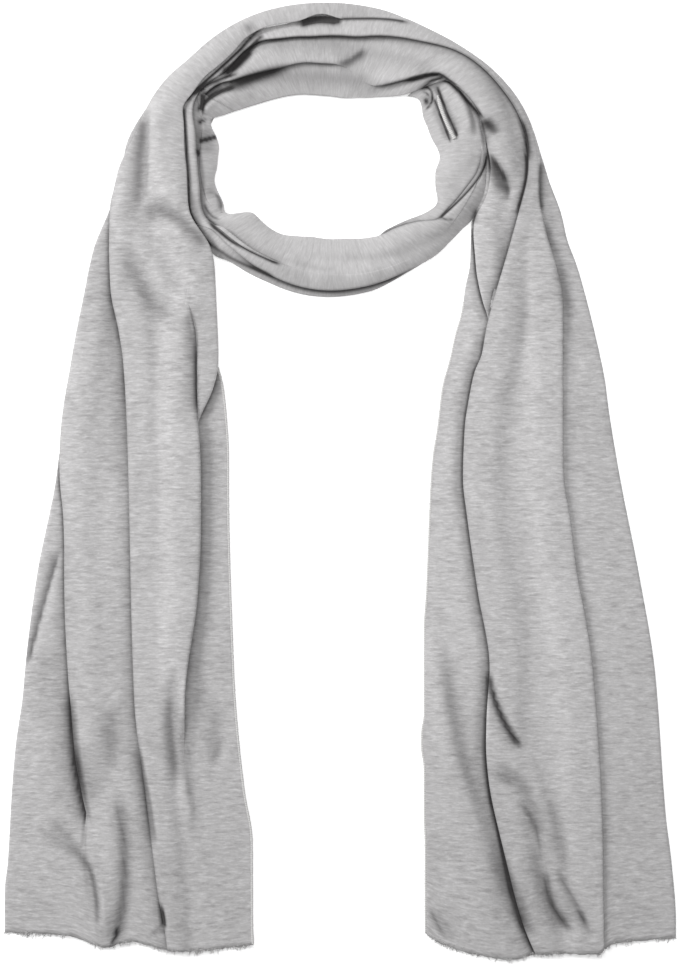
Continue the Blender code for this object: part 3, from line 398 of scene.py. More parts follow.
        (0.12, 0.2, 9, 9, 24, ((121.5, -251.4), (132.6, -270.9), (145.6, -287.2), (156.7, -300.2))),
        (0.2, 0.2, 8, 6, 24, ((103.4, -238.4), (111.2, -264.4), (119, -287.2), (122.9, -303.4))),
        (0.08, 0.2, 9, 9, 24, ((116.4, -205.9), (129.3, -231.9), (139.8, -257.9))),
        (0.2, 0.8, 4, 4, 10, ((61.8, -274.2), (67, -287.2), (74.8, -296.9))),
        (0.12, 0.4, 6, 6, 30, ((63.1, -101.9), (70.9, -134.4), (78.7, -166.9))),
        (0.34, 1.6, 2, 3.4, 7, ((96.2, -130.5), (100.1, -143.5), (106.6, -156.5), (113.8, -166.9),
            (118.3, -173.4))),
        (0.26, 1.5, 4.5, 4.5, 10, ((101.4, -183.2), (111.2, -189.7), (120.2, -199.4), (126.8, -213.7),
            (130, -230.6))),
        (0.34, 1.5, 1.8, 1.8, 8, ((140.4, -251.4), (145.6, -261.2), (153.4, -274.8), (160.6, -289.1))),
        (0.22, 1.2, 3, 3, 10, ((111.8, -274.2), (119, -285.2), (126.8, -294.3))),
        (0.5, 2.4, 2.1, 3.2, 7, ((95.2, -121.4), (98.8, -138.3), (105.3, -152), (111.2, -163),
            (117.7, -172.1))),
        (0.26, 1.2, 2.5, 9, 24, ((99.5, -225.4), (105.3, -246.2), (112.5, -263.1), (120.2, -280.7),
            (126.8, -295.6))),
        (0.46, 2, 2.4, 2.6, 7, ((133.2, -250.1), (133.2, -261.8), (136.5, -272.9), (141.7, -282),
            (150.8, -290.4))),
        (0.28, 1.2, 5, 2, 12, ((133.9, -202), (137.8, -215.7), (141.1, -228.7), (143.7, -242.3),
            (145.6, -252.7))),
        (0.3, 1.6, 2, 3, 6, ((98.2, -186.4), (105.3, -191), (112.5, -196.2))),
        (0.3, 1.2, 2.4, 1.5, 8, ((113.8, -205.9), (121.5, -213.7), (126.8, -226.7), (129.3, -239.7))),
        (0.1, 1, 4, 4, 60, ((65, -101.9), (70.9, -134.4), (78.7, -170.2), (89, -205.9),
            (98.2, -235.2))),
        (0.3, 1.2, 1.4, 2.2, 8, ((56.6, -274.2), (61.8, -285.2), (68.9, -295.6))),
        (0.3, 1, 3, 3, 8, ((152.8, -274.2), (158, -285.2), (161.8, -295.6))),
        (0.2, 0.8, 4, 4, 12, ((139.8, 146.4), (145, 125.6), (147.6, 106.1))),
    ),
    "wrinkles": {"seed": 9, "count": 34, "height": 0.35, "box": (60, -300, 220, 190)},
}

frontLoop = {
    "name": "front_wrap",
    "nodes": ("front_loop", "inner_right_fold", "left_gather", "hidden_layers"),
    "loopWay": 1,
    "side": 1,
    "span": (150 * cloth["loopRule"], 402 * cloth["loopRule"]),
    "stations": 250,
    "columns": "inner tuckH foldH tuckC foldC foldF tuckF outer back",
    "pile": (7, 0, 1, 2, 3, 6, 5, 4),
    "pleats": (1, 3, 5),
    "points": (30, 10, 20, 10, 26, 10, 20, 28),
    "rise": ((262, 1.5), (702, 1.5)),
    "crown": ((262, 4.6), (360, 5.2), (500, 5.4), (580, 4.4), (620, 3.2), (702, 1.8)),
    "beside": (
        ((2,), "foldC", -1, 5, 8, ("loop", 150, 205), 20),
        ((2,), "foldC", -1.6, 5, 8, ("loop", 205, 245), 20),
        ((4, 3), "foldC", 0.4, 7, 3, ("loop", 150, 205), 20),
        ((4, 3), "foldC", 0.9, 7, 3, ("loop", 205, 245), 20),
        ((6,), "foldF", -1.8, 7, 5, ("loop", 228, 308), 24),
        ((4, 5), "foldF", 0.8, 4, 8, ("loop", 222, 308), 20),
        ((0,), "foldH", -1.8, 5, 9, ("loop", 308, 364), 14),
        ((2, 1), "foldH", 0.9, 8, 3, ("loop", 308, 364), 14),
    ),
    "tail": {},
    "loop": {
        "inner": ((150, 71.7), (154.5, 77), (158.1, 83), (161.3, 80.7), (165.3, 75.5), (171.1, 72.2),
            (180.2, 72.6), (187, 75), (199.5, 72.6), (204, 74), (208.6, 66), (211.8, 61.5),
            (225.4, 58.6), (234.1, 56.9), (245.7, 52.6), (258.6, 49.8), (276.9, 50.4), (295, 54.5),
            (302.8, 55.5), (310.4, 55.1), (317.1, 56.8), (325.4, 61.1), (337.7, 72.2), (341.1, 74.2),
            (350, 70.2), (357.1, 69.2), (365.1, 72.4), (377.6, 68.9), (386.3, 68.9), (396.7, 72.9),
            (403.1, 67.6)),
        "tuckH": ((150, 98), (158, 90), (165, 79.5), (175, 76.5), (200, 75.5), (205, 76), (208.6, 71),
            (211.8, 69), (225, 65), (240, 61), (255, 57), (270, 56), (285, 58), (300, 63), (315, 68),
            (330, 79), (345, 91.5), (356, 98.5), (362, 100.5), (368, 99.5), (390, 98.5), (402, 90)),
        "foldH": ((150, 92.5), (158, 89), (165, 85), (175, 84), (195, 82), (205, 74), (207, 67),
            (208.6, 61.6), (211.8, 57.4), (225.4, 55.6), (234.1, 53.9), (245.7, 49.6), (258.6, 46.8),
            (276.9, 47.4), (302.8, 54.2), (306.3, 55.8), (314.3, 57.7), (323.1, 62.8), (329.3, 70),
            (333.9, 78.9), (339.6, 81.9), (345.6, 86.1), (351.9, 91), (356.7, 95.5), (360.6, 98),
            (366.3, 100), (372, 100.8), (390, 100), (402, 91.5)),
        "tuckC": ((150, 101.5), (154.2, 103), (165, 98), (180, 94), (195, 94), (205, 92), (211.7, 87),
            (226, 81.5), (240, 76.5), (256, 72.5), (265, 69.5), (274, 69), (290, 72), (306, 76),
            (330, 86), (345, 92), (356, 97.5), (366, 101), (390, 101.5), (402, 93)),
        "foldC": ((150, 96.5), (154.2, 96.5), (166.3, 89), (171.8, 86.9), (179, 85.2), (187.1, 84.7),
            (200.2, 86.8), (203.8, 86), (207.2, 83.3), (211.7, 81), (226, 75.7), (239.8, 71.7),
            (247.3, 70.4), (256.2, 69.9), (265, 70.3), (274.6, 71.1), (290, 74), (306, 78), (330, 88),
            (345, 94), (356, 98.8), (366, 102), (390, 103), (402, 94.5)),
        "foldF": ((150, 104.5), (165, 107), (180, 109), (195, 103), (204.5, 92.5), (209.4, 85.6),
            (233.5, 80.8), (240.9, 80.3), (279.3, 81), (287.4, 81.7), (306.3, 84.4), (312, 86),
            (320, 88.3), (330, 91.4), (345, 97), (356, 100.2), (366, 102.8), (390, 104), (402, 95.6)),
        "tuckF": ((150, 106), (165, 108.5), (180, 110.5), (195, 104.5), (202, 97), (208, 83), (210, 79),
            (225, 74), (240, 71), (255, 70), (270, 70), (285, 72), (300, 77), (308, 82), (314, 87),
            (320, 89.8), (330, 92.8), (345, 98.2), (356, 101), (366, 103.2), (390, 104.8),
            (402, 96.4)),
        "outer": ((150, 108.5), (165, 112), (180, 114), (195, 108), (205, 100.5), (209.5, 96.3),
            (218.4, 93.7), (223.1, 89.4), (230.4, 87.2), (245.3, 84.6), (274.9, 84.5), (283.9, 84.8),
            (290.7, 85.2), (298, 84.9), (305.5, 85.4), (334.9, 95.2), (339.5, 99), (343.2, 99.6),
            (347.5, 101.7), (353.2, 102.8), (359.5, 102.7), (366.1, 103.9), (372, 104.5), (390, 106),
            (402, 98)),
        "back": ((150, 80), (165, 82), (180, 79), (195, 79), (205, 80), (210, 70), (225, 64), (240, 60),
            (255, 56), (270, 55), (285, 57), (300, 62), (315, 64), (330, 72), (345, 80), (350, 79),
            (375, 77), (402, 77)),
    },
    "hem": (),
    "folds": (
        (1.3, 3, 6, 14, ((-70.9, 158.1), (-52.8, 147.3), (-35, 140.6), (-13.3, 135), (2.6, 134.7))),
        (1, 2, 3, 6, ((-83.9, 154.8), (-73, 147.3), (-61.8, 140.5))),
        (-4, 1.8, 1.8, 5, ((70.9, 222.1), (66.2, 233.9), (61, 247.2), (55.8, 253.6))),
        (2.2, 2.2, 2.2, 5, ((73.8, 223), (70, 235.5), (64, 249.5), (59, 256))),
        (-4, 1.8, 1.8, 5, ((76.2, 224), (74.5, 232.5), (71.5, 237.4), (66.9, 245.2), (63.2, 253.1),
            (60.5, 259.4))),
        (-3, 1.6, 1.6, 3, ((60.5, 252), (57, 250.5), (55, 247), (56.2, 243))),
        (2.4, 4, 2, 5, ((84, 226), (83, 238), (78, 250), (72, 258), (66, 263))),
    ),
    "creases": loopCreases,
    "wrinkles": {"seed": 14, "count": 26, "height": 0.25, "box": (-110, 90, 110, 320)},
}


def eased(amount):
    # from 0 to 1 with a soft start and a soft end
    amount = np.clip(amount, 0.0, 1.0)
    return amount * amount * (3 - 2 * amount)


def readRow(row, at):
    # a smooth curve through a row's points that never swings past them
    x, y = np.array(row, float).T
    order = np.argsort(x)
    x, y = x[order], y[order]
    at = np.clip(at, x[0], x[-1])
    gap = np.diff(x)
    rise = np.diff(y) / gap
    slope = np.concatenate([rise[:1], np.zeros(len(x) - 2), rise[-1:]])
    same = rise[:-1] * rise[1:] > 0
    slope[1:-1] = np.where(same, 2 * rise[:-1] * rise[1:] / np.where(same, rise[:-1] + rise[1:], 1), 0)
    i = np.clip(np.searchsorted(x, at, side="right") - 1, 0, len(gap) - 1)
    t = (at - x[i]) / gap[i]
    near = y[i] * (1 + 2 * t) * (1 - t) ** 2 + slope[i] * gap[i] * t * (1 - t) ** 2
    far = y[i + 1] * t * t * (3 - 2 * t) + slope[i + 1] * gap[i] * t * t * (t - 1)
    return near + far


def stationAt(piece, part, value):
    # a drop down the tail, or a turn round the loop, as a station in mm along the piece
    if part == "tail":
        return piece["tailWay"] * value
    return piece["loopWay"] * value * cloth["loopRule"]


def edgesAlong(piece, station):
    # how far out each fold and tuck lies at every station
    edges = {}
    for name in piece["columns"].split():
        row = {}
        for part in ("tail", "loop"):
            row.update({stationAt(piece, part, at): out for at, out in piece[part].get(name, ())})
        edges[name] = readRow(sorted(row.items()), station)
    if "band" in piece:
        band = piece["band"]
        turn = np.maximum(station, 0) / cloth["loopRule"]
        low, high = readRow(band["inner"], turn), readRow(band["outer"], turn)
        mix = eased(station / cloth["loopRule"] / band["blend"])
        for name, share in band["share"].items():
            shared = low + share * (high - low)
            if name in band["atOnce"]:
                edges[name] = np.where(station > 0, shared, edges[name])
            else:
                edges[name] = edges[name] * (1 - mix) + shared * mix
    return edges


def placeOn(piece, station, out):
    # from station and distance out to x and y
    station, out = np.broadcast_arrays(station, out)
    onward = piece["loopWay"] * station
    turn = np.radians(np.maximum(onward, 0) / cloth["loopRule"])
    drop = np.maximum(-onward, 0)
    if piece["hem"]:
        grown = eased((drop - cloth["tailLength"] + cloth["hemBand"]) / cloth["hemBand"])
        drop = drop + readRow(piece["hem"], out) * grown
    x = cloth["neck"][0] + piece["side"] * out * np.cos(turn)
    y = cloth["neck"][1] + out * np.sin(turn) - drop
    return x, y


def blurred(values, width, axis):
    # a soft average along one axis, with the ends held
    reach = int(math.ceil(2.5 * width))
    weights = np.exp(-0.5 * (np.arange(-reach, reach + 1) / width) ** 2)
    weights /= weights.sum()
    padding = [(0, 0), (0, 0)]
    padding[axis] = (reach, reach)
    padded = np.pad(values, padding, mode="edge")
    total = np.zeros_like(values)
    for k, weight in enumerate(weights):
        part = [slice(None), slice(None)]
        part[axis] = slice(k, k + values.shape[axis])
        total += weight * padded[tuple(part)]
    return total


settling = {
    "overhang": 12,  # past an edge, cloth curves down over this distance and then falls at 45 degrees
    "reach": 24,  # how far from an edge it is followed
    "mapStep": 1.5,
    "mapCorner": (-240.0, -330.0),
    "mapCells": (320, 440),
    "mapBlur": 1.6,  # cells
    "gap": 0.25,  # air between two layers
    "pleatStand": 6,  # a pleat folded over by less than this doesn't stand up fully
    "pleatMerge": 7,  # and one folded over by less than this is partly one with its neighbours
    "nowhere": -99.0,  # the height of a layer where it doesn't lie
    "firstBlur": (3.0, 1.2),  # cells across and stations along
    "evenBlur": 1.0,
    "lastBlur": (2.2, 1.0),
    "turn": 0.3,  # the least radius of a fold's turn
    "turnMost": 3.5,
    "turnShare": 0.35,  # of the narrower layer beside the turn
    "turnAngles": (-54, -18, 18, 54),
    "crownShape": 2.5,  # higher is flatter in the middle and rounder at the edges
    "wrinkleEase": 4,  # wrinkles fade out over this share, a quarter, of each half's width
    "lowest": 0.6,  # what is pressed in deeper than this flattens out
    "rawEnd": 0.5,  # how far a thread of the raw end stands out or back
    "joinRows": 10,  # over which the loop's two stretches become one
}


def sag(distance):
    # how far cloth has come down at this distance past what carries it
    overhang = settling["overhang"]
    return np.where(distance < overhang, distance**2 / (2 * overhang), distance - overhang / 2)


class Ground:
    # the heights of what already lies there, on a grid over the surface
    def __init__(self):
        self.size = settling["mapStep"]
        self.low = settling["mapCorner"]
        self.map = np.zeros(settling["mapCells"])

    def add(self, points):
        fine = points
        for axis in (0, 1):
            a = np.moveaxis(fine, axis, 0)
            between = np.empty((2 * len(a) - 1, *a.shape[1:]))
            between[::2] = a
            between[1::2] = (a[1:] + a[:-1]) / 2
            fine = np.moveaxis(between, 0, axis)
        fine = fine.reshape(-1, 3)
        i = ((fine[:, 0] - self.low[0]) / self.size + 0.5).astype(int)
        j = ((fine[:, 1] - self.low[1]) / self.size + 0.5).astype(int)
        np.maximum.at(self.map, (i, j), fine[:, 2] + cloth["thickness"] / 2 + settling["gap"])

    def draped(self):
        # the same heights as cloth lies over them, easing down past their edges
        spread = self.map.copy()
        steps = int(settling["reach"] / self.size)
        for i in range(-steps, steps + 1):
            for j in range(-steps, steps + 1):
                distance = self.size * math.hypot(i, j)
                if 0 < distance < settling["reach"]:
                    moved = np.roll(np.roll(self.map, i, 0), j, 1) - sag(distance)
                    np.maximum(spread, moved, out=spread)
        for axis in (0, 1):
            spread = blurred(spread, settling["mapBlur"], axis)
        self.cover = np.maximum(spread, 0)

    def under(self, x, y):
        # how high the draped cloth lies at any place
        i = np.clip((x - self.low[0]) / self.size, 0, self.map.shape[0] - 1.01)
        j = np.clip((y - self.low[1]) / self.size, 0, self.map.shape[1] - 1.01)
        a, b = i.astype(int), j.astype(int)
        u, v = i - a, j - b
        low = self.cover[a, b] * (1 - v) + self.cover[a, b + 1] * v
        high = self.cover[a + 1, b] * (1 - v) + self.cover[a + 1, b + 1] * v
        return low * (1 - u) + high * u


def layerWidths(piece, edges):
    # how wide each layer is, below zero where it runs back towards the neck
    names = piece["columns"].split()
    return [edges[b] - edges[a] for a, b in zip(names, names[1:])]


def settleLayers(piece, station, edges, ground, carried):
    # every layer comes down on the ones below it; heights by station, layer and cell
    names = piece["columns"].split()
    cells = np.arange(*cloth["reachSpan"], cloth["cellSize"])
    x, y = placeOn(piece, station[:, None], cells[None, :])
    pileTop = ground.under(x, y) * carried[:, None] + cloth["thickness"] / 2
    base = pileTop.copy()
    rise = np.interp(station, *np.array(piece["rise"]).T)[:, None]
    heights = [None] * len(piece["pile"])
    full = np.ones_like(base)
    wide = layerWidths(piece, edges)
    for step, k in enumerate(piece["pile"]):
        a, b = edges[names[k]][:, None], edges[names[k + 1]][:, None]
        inside = (cells >= np.minimum(a, b)) & (cells < np.maximum(a, b))
        # a pleat that is only just folded over doesn't stand up yet
        folded = 0 < k < len(heights) - 1
        folded = folded and (np.sign(wide[k]) != np.sign(wide[k - 1]))
        share = np.where(folded, eased(np.abs(wide[k]) / settling["pleatStand"]), 1.0)[:, None]
        held = np.where(
            inside, pileTop + (rise * np.minimum(full, share) if step else 0), settling["nowhere"])
        full = np.where(inside, share, full)
        z = held.copy()
        for shift in range(1, int(settling["reach"] / cloth["cellSize"]) + 1):
            fall = float(sag(np.array(shift * cloth["cellSize"])))
            z[:, shift:] = np.maximum(z[:, shift:], held[:, :-shift] - fall)
            z[:, :-shift] = np.maximum(z[:, :-shift], held[:, shift:] - fall)
        z = np.maximum(z, base)
        acrossFirst, alongFirst = settling["firstBlur"]
        soft = blurred(blurred(z, acrossFirst, 1), alongFirst, 0)
        z = blurred(np.maximum(soft, held), settling["evenBlur"], 1)
        heights[k] = z
        pileTop = np.where(inside, np.maximum(z, pileTop), pileTop)
    # where a pleat isn't folded, its three layers are one
    for _ in range(2):
        for k in (*piece["pleats"], *piece["pleats"][::-1]):
            overlap = -np.sign(wide[k - 1]) * wide[k]
            share = eased(overlap / settling["pleatMerge"])[:, None]
            top = np.maximum(np.maximum(heights[k - 1], heights[k]), heights[k + 1])
            for j in (k - 1, k, k + 1):
                heights[j] = top * (1 - share) + heights[j] * share
    across, along = settling["lastBlur"]
    return cells, [blurred(blurred(height, across, 1), along, 0) for height in heights]


def layRows(piece, edges, cells, heights):
    # points across the cloth at every station, with a rounded turn at every fold
    names = piece["columns"].split()
    layers = len(piece["pile"])
    count = piece["stations"]
    steps = np.arange(count)

    def heightAt(k, out):
        i = np.clip((out - cells[0]) / cloth["cellSize"], 0, len(cells) - 1.01)
        a = i.astype(int)
        u = i - a
        rows = steps.reshape((-1,) + (1,) * (np.ndim(out) - 1))
        return heights[k][rows, a] * (1 - u) + heights[k][rows, a + 1] * u

    wide = layerWidths(piece, edges)
    bends = [np.zeros(count)]
    for k in range(layers - 1):
        edge = edges[names[k + 1]]
        radius = np.abs(heightAt(k + 1, edge) - heightAt(k, edge)) / 2 + settling["turn"]
        narrow = np.minimum(np.abs(wide[k]), np.abs(wide[k + 1]))
        bends.append(np.minimum(np.minimum(radius, settling["turnMost"]), settling["turnShare"] * narrow))
    bends.append(np.zeros(count))
    out, z, layerOf = [], [], []
    for k in range(layers):
        way = np.sign(wide[k])
        first = edges[names[k]] + way * bends[k]
        last = edges[names[k + 1]] - way * bends[k + 1]
        share = np.linspace(0, 1, piece["points"][k])
        line = first[:, None] + (last - first)[:, None] * share
        out.append(line)
        z.append(heightAt(k, line))
        layerOf += [k] * len(share)
        if k + 1 < layers:
            onward = np.sign(wide[k + 1])
            start = edges[names[k + 1]] + onward * bends[k + 1]
            zStart, zEnd = heightAt(k, last), heightAt(k + 1, start)
            for angle in settling["turnAngles"]:
                bulge, t = math.cos(math.radians(angle)), (math.sin(math.radians(angle)) + 1) / 2
                turned = last + way * bends[k + 1] * bulge
                straight = last + (start - last) * t
                out.append(np.where(onward != way, turned, straight)[:, None])
                z.append((zStart * (1 - t) + zEnd * t)[:, None])
                layerOf.append(k if angle < 0 else k + 1)
    return np.hstack(out), np.hstack(z), np.array(layerOf)


def softLine(points, rounds=3):
    # rounds off the corners of a drawn line
    line = np.array(points, float)
    for _ in range(rounds):
        a, b = line[:-1], line[1:]
        cut = np.empty((2 * len(a), 2))
        cut[::2], cut[1::2] = 0.75 * a + 0.25 * b, 0.25 * a + 0.75 * b
        line = np.vstack([line[:1], cut, line[-1:]])
    return line


def runAlong(line):
    # how far along it each point of a line lies
    return np.concatenate([[0], np.cumsum(np.linalg.norm(np.diff(line, axis=0), axis=1))])


def foldShape(x, y, leftWidth, rightWidth, fade, points):
    # how strongly a drawn line is felt at each place, walking along it
    line = softLine(points)
    run = runAlong(line)
    best = np.full(x.shape, 1e9)
    along = np.zeros(x.shape)
    side = np.zeros(x.shape)
    for k in range(len(line) - 1):
        a, way = line[k], line[k + 1] - line[k]
        length = math.hypot(*way)
        t = np.clip(((x - a[0]) * way[0] + (y - a[1]) * way[1]) / length**2, 0, 1)
        distance = np.hypot(x - a[0] - t * way[0], y - a[1] - t * way[1])
        nearer = distance < best
        best = np.where(nearer, distance, best)
        along = np.where(nearer, run[k] + t * length, along)
        side = np.where(nearer, way[0] * (y - a[1]) - way[1] * (x - a[0]), side)
    width = np.where(side > 0, leftWidth, rightWidth)
    ends = eased(along / fade + 0.05) * eased((run[-1] - along) / fade + 0.05)
    return ends * np.exp(-((best / width) ** 2)), best, side, ends


# Painted shade in creases and hollows: how dark, where 1 is the full painted shade colour, and how wide
# in mm.
shade = {
    "valley": 0.07,  # for each mm of depth of a soft fold
    "foot": 0.11,  # for each mm of height, at the foot of a soft fold's steep side
    "footWidth": 1.6,
    "steep": 3.5,  # a side no wider than this is steep
    "dip": 0.09,  # for each mm, where a lower panel dips to a fold
    "dipLine": 0.8,  # right under the fold
    "dipLineWidth": 1.3,
    "dipNarrow": 6,  # only a dip this narrow has that line
    "dipFull": 2,  # and it is full from this depth on
    "turn": 0.5,  # where the fold itself turns down
    "turnWidth": 0.8,
    "turnFull": 0.9,  # and it is full from this height on
    "crease": 1.1,  # times the crease's own darkness
    "fineCrease": 1.5,
    "fine": 1.5,  # a crease with a side no wider than this is fine
    "blur": 0.6,
}


def foldHeight(x, y, height, leftWidth, rightWidth, fade, points):
    # one soft fold, higher or lower than the cloth round it, and the shade painted into its hollow
    shape, best, side, ends = foldShape(x, y, leftWidth, rightWidth, fade, points)
    if height < 0:
        # a sunken fold gets painted shade by its depth
        return height * shape, -shade["valley"] * height * shape
    paintedShade = 0 * shape
    narrow = min(leftWidth, rightWidth)
    if narrow <= shade["steep"]:
        # the steep side gets a painted shade line at its foot
        steep = (side > 0) == (leftWidth < rightWidth)
        foot = np.exp(-(((best - narrow) / shade["footWidth"]) ** 2))
        paintedShade = shade["foot"] * height * ends * np.where(steep, foot, 0)
    return height * shape, paintedShade


wrinkleRange = {
    "tilt": 0.2,  # radians from straight down
    "halfLength": (14, 60),
    "width": (2.5, 7),
    "bend": 0.0016,
}


def wrinkleHeight(x, y, recipe):
    # shallow long wrinkles, the same ones every time
    chance = np.random.default_rng(recipe["seed"])
    left, low, right, high = recipe["box"]
    total = np.zeros(x.shape)
    for _ in range(recipe["count"]):
        middleX, middleY = chance.uniform(left, right), chance.uniform(low, high)
        tilt = chance.normal(0, wrinkleRange["tilt"])
        longHalf = chance.uniform(*wrinkleRange["halfLength"])
        wide = chance.uniform(*wrinkleRange["width"])
        height = recipe["height"] * chance.uniform(-1, 1)
        bend = chance.normal(0, wrinkleRange["bend"])
        along = (y - middleY) * math.cos(tilt) + (x - middleX) * math.sin(tilt)
        across = (x - middleX) * math.cos(tilt) - (y - middleY) * math.sin(tilt) + bend * along**2
        total += height * np.exp(-((along / longHalf) ** 2) - (across / wide) ** 2)
    return total


def besideFolds(piece, station, edges, out, layerOf):
    # what the cloth does beside a fold: the upper edge rounds up and the lower panel dips to it, with
    # shade painted into the dip and onto the fold's turn
    total = np.zeros(out.shape)
    paintedShade = np.zeros(out.shape)
    for layers, edge, height, outward, inward, (part, start, end), fade in piece["beside"]:
        a, b = sorted((stationAt(piece, part, start), stationAt(piece, part, end)))
        window = (eased((station - a) / fade + 0.5) * eased((b - station) / fade + 0.5))[:, None]
        off = out - edges[edge][:, None]
        width = np.where(off > 0, outward, inward)
        member = np.isin(layerOf, layers)
        shape = window * np.exp(-((off / width) ** 2))
        total += np.where(member, height * shape, 0)
        if height < 0:
            # painted shade in the dip, with a darker painted line right under a narrow fold
            line = shade["dipLine"] * window * np.exp(-((off / shade["dipLineWidth"]) ** 2))
            line *= min(outward, inward) <= shade["dipNarrow"]
            line *= min(1, -height / shade["dipFull"])
            paintedShade += np.where(member, -shade["dip"] * height * shape + line, 0)
        else:
            # painted shade on the turn of the fold itself
            turn = shade["turn"] * min(1, height / shade["turnFull"]) * window
            paintedShade += np.where(member, turn * np.exp(-((off / shade["turnWidth"]) ** 2)), 0)
    return total, paintedShade


def layCloth(piece, ground, carried):
    # the whole piece as a grid of points, in mm, and the shade painted on each in creases and hollows
    station = np.linspace(*piece["span"], piece["stations"])
    edges = edgesAlong(piece, station)
    cells, heights = settleLayers(piece, station, edges, ground, carried(station))
    out, z, layerOf = layRows(piece, edges, cells, heights)
    x, y = placeOn(piece, station[:, None], out)
    low, high = out.min(axis=1)[:, None], out.max(axis=1)[:, None]
    across = np.clip(np.abs(2 * (out - low) / (high - low) - 1), 0, 1)
    rounded = 1 - across ** settling["crownShape"]
    crown = np.interp(station, *np.array(piece["crown"]).T)[:, None] * rounded
    calm = eased((1 - across) * settling["wrinkleEase"])
    raised = crown + calm * wrinkleHeight(x, y, piece["wrinkles"])
    lift, paintedShade = besideFolds(piece, station, edges, out, layerOf)
    raised = raised + lift
    for fold in piece["folds"]:
        lift, dark = foldHeight(x, y, *fold)
        raised, paintedShade = raised + lift, paintedShade + dark
    # creases are drawn in as dips with painted shade along them
    drawnDark = np.zeros(out.shape)
    for dark, dip, *drawn in piece["creases"]:
        shape = foldShape(x, y, *drawn)[0]
        raised = raised - dip * shape
        drawnDark += shade["fineCrease" if min(drawn[:2]) <= shade["fine"] else "crease"] * dark * shape
    lowest = settling["lowest"]
    raised = np.where(raised < lowest, lowest * np.exp((raised - lowest) / lowest), raised)
    z = z + np.where(layerOf == piece["pile"][0], 0, raised)
    points = np.stack([x, y, z], axis=2)
    for axis in (1, 1, 0, 0):
        rows = np.moveaxis(points, axis, 0)  # another view of the same points
        rows[1:-1] = (rows[:-2] + 2 * rows[1:-1] + rows[2:]) / 4
    if piece["hem"]:
        # the raw end isn't cut quite straight
        chance = np.random.default_rng(piece["wrinkles"]["seed"])
        end = 0 if piece["tailWay"] < 0 else -1
        points[end, :, 1] += chance.uniform(-settling["rawEnd"], settling["rawEnd"], points.shape[1])
    for axis in (0, 1):
        paintedShade = blurred(paintedShade, shade["blur"], axis)
    return station, points, np.clip(paintedShade + drawnDark, 0, 1)


def gridCorners(bm, across, rows):
    # a new grid's corners in order, row by row
    corners = bmesh.ops.create_grid(bm, x_segments=across - 1, y_segments=rows - 1, size=1)["verts"]
    return sorted(corners, key=lambda v: (round(v.co.y, 6), round(v.co.x, 6)))


def unwrapped(bm, flatPlace):
    # the clothUV map: where each corner lies on the flat cloth, in metres
    uv = bm.loops.layers.uv.new("clothUV")
    for face in bm.faces:
        for loop in face.loops:
            loop[uv].uv = flatPlace[loop.vert]


def finishPiece(name, bm, material):
    # from a bmesh to a piece that rides on the scarf's one body
    mesh = bpy.data.meshes.new(name)
    bm.to_mesh(mesh)
    bm.free()
    mesh.shade_smooth()
    mesh.materials.append(material)
    thing = bpy.data.objects.new(name, mesh)
    bpy.context.scene.collection.objects.link(thing)
    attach(thing, "root")
    print(name, "made:", len(mesh.polygons), "faces")
    return thing


def clothObject(piece, station, points, paintedShade, material):
    # a fine grid, laid where the cloth lies
    rows, across = points.shape[:2]
    bm = bmesh.new()
    corners = gridCorners(bm, across, rows)
    width = np.concatenate(
        [np.zeros((rows, 1)), np.cumsum(np.linalg.norm(np.diff(points, axis=1), axis=2), axis=1)], axis=1)
    width -= width[:, -1:] / 2
    onward = piece["loopWay"] * station
    perTurn = cloth["weaveReach"] / 1000 * math.pi / 180 / cloth["loopRule"]
    length = onward * np.where(onward > 0, perTurn, 0.001)
    flatPlace = {}
    for corner, place, u, v in zip(
            corners, points.reshape(-1, 3), width.ravel() / 1000, np.repeat(length, across)):
        corner.co = place / 1000
        flatPlace[corner] = (u, v)
    unwrapped(bm, flatPlace)
    byCorner = np.zeros(rows * across)
    byCorner[[corner.index for corner in corners]] = paintedShade.ravel()
    bm.normal_update()
    thing = finishPiece(piece["name"], bm, material)
    # the painted shade of creases and hollows, kept on each point for the material
    dark = thing.data.attributes.new("paintedShade", "FLOAT", "POINT")
    dark.data.foreach_set("value", byCorner)
    solid = thing.modifiers.new("clothThickness", "SOLIDIFY")
    solid.thickness = cloth["thickness"] / 1000
    solid.offset = 0
    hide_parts(*piece["nodes"])
    alongRun = np.linalg.norm(np.diff(points, axis=0), axis=2)
    print(piece["name"], "laid:", rows, "x", across, "points,", round(float(np.mean(width[:, -1] * 2))),
          "mm across,", round(float(alongRun.sum(axis=0).mean())), "mm long, top",
          round(float(points[..., 2].max()), 1))
    return thing


def newSocket(group, name, kind, value=None, out=False):
    socket = group.interface.new_socket(
        name=name, in_out="OUTPUT" if out else "INPUT", socket_type="NodeSocket" + kind)
    if value is not None:
        socket.default_value = value


def addNode(tree, kind, place, **settings):
    node = tree.nodes.new(kind)
    node.location = place
    for name, value in settings.items():
        if name == "inputs":
            for key, given in value.items():
                node.inputs[key].default_value = given
        else:
            setattr(node, name, value)
    return node


def mappedNoise(tree, source, place, detail, roughness, **mapped):
    # noise on the flat cloth, stretched or shifted by a mapping node
    mapping = addNode(tree, "ShaderNodeMapping", (place[0] - 200, place[1]), inputs=mapped)
    noise = addNode(tree, "ShaderNodeTexNoise", place, inputs={
        "Scale": 1.0, "Detail": detail, "Roughness": roughness})
    tree.links.new(source, mapping.inputs["Vector"])
    tree.links.new(mapping.outputs["Vector"], noise.inputs["Vector"])
    return mapping, noise.outputs["Fac"]


def ramp(tree, source, place, stops):
    # a stop is its place from 0 to 1 and a grey or a colour
    node = addNode(tree, "ShaderNodeValToRGB", place)
    elements = node.color_ramp.elements
    while len(elements) < len(stops):
        elements.new(0.5)
    for element, (at, value) in zip(elements, stops):
        element.position = at
        element.color = (*value, 1) if isinstance(value, tuple) else (value, value, value, 1)
    tree.links.new(source, node.inputs["Fac"])
    return node.outputs["Color"]


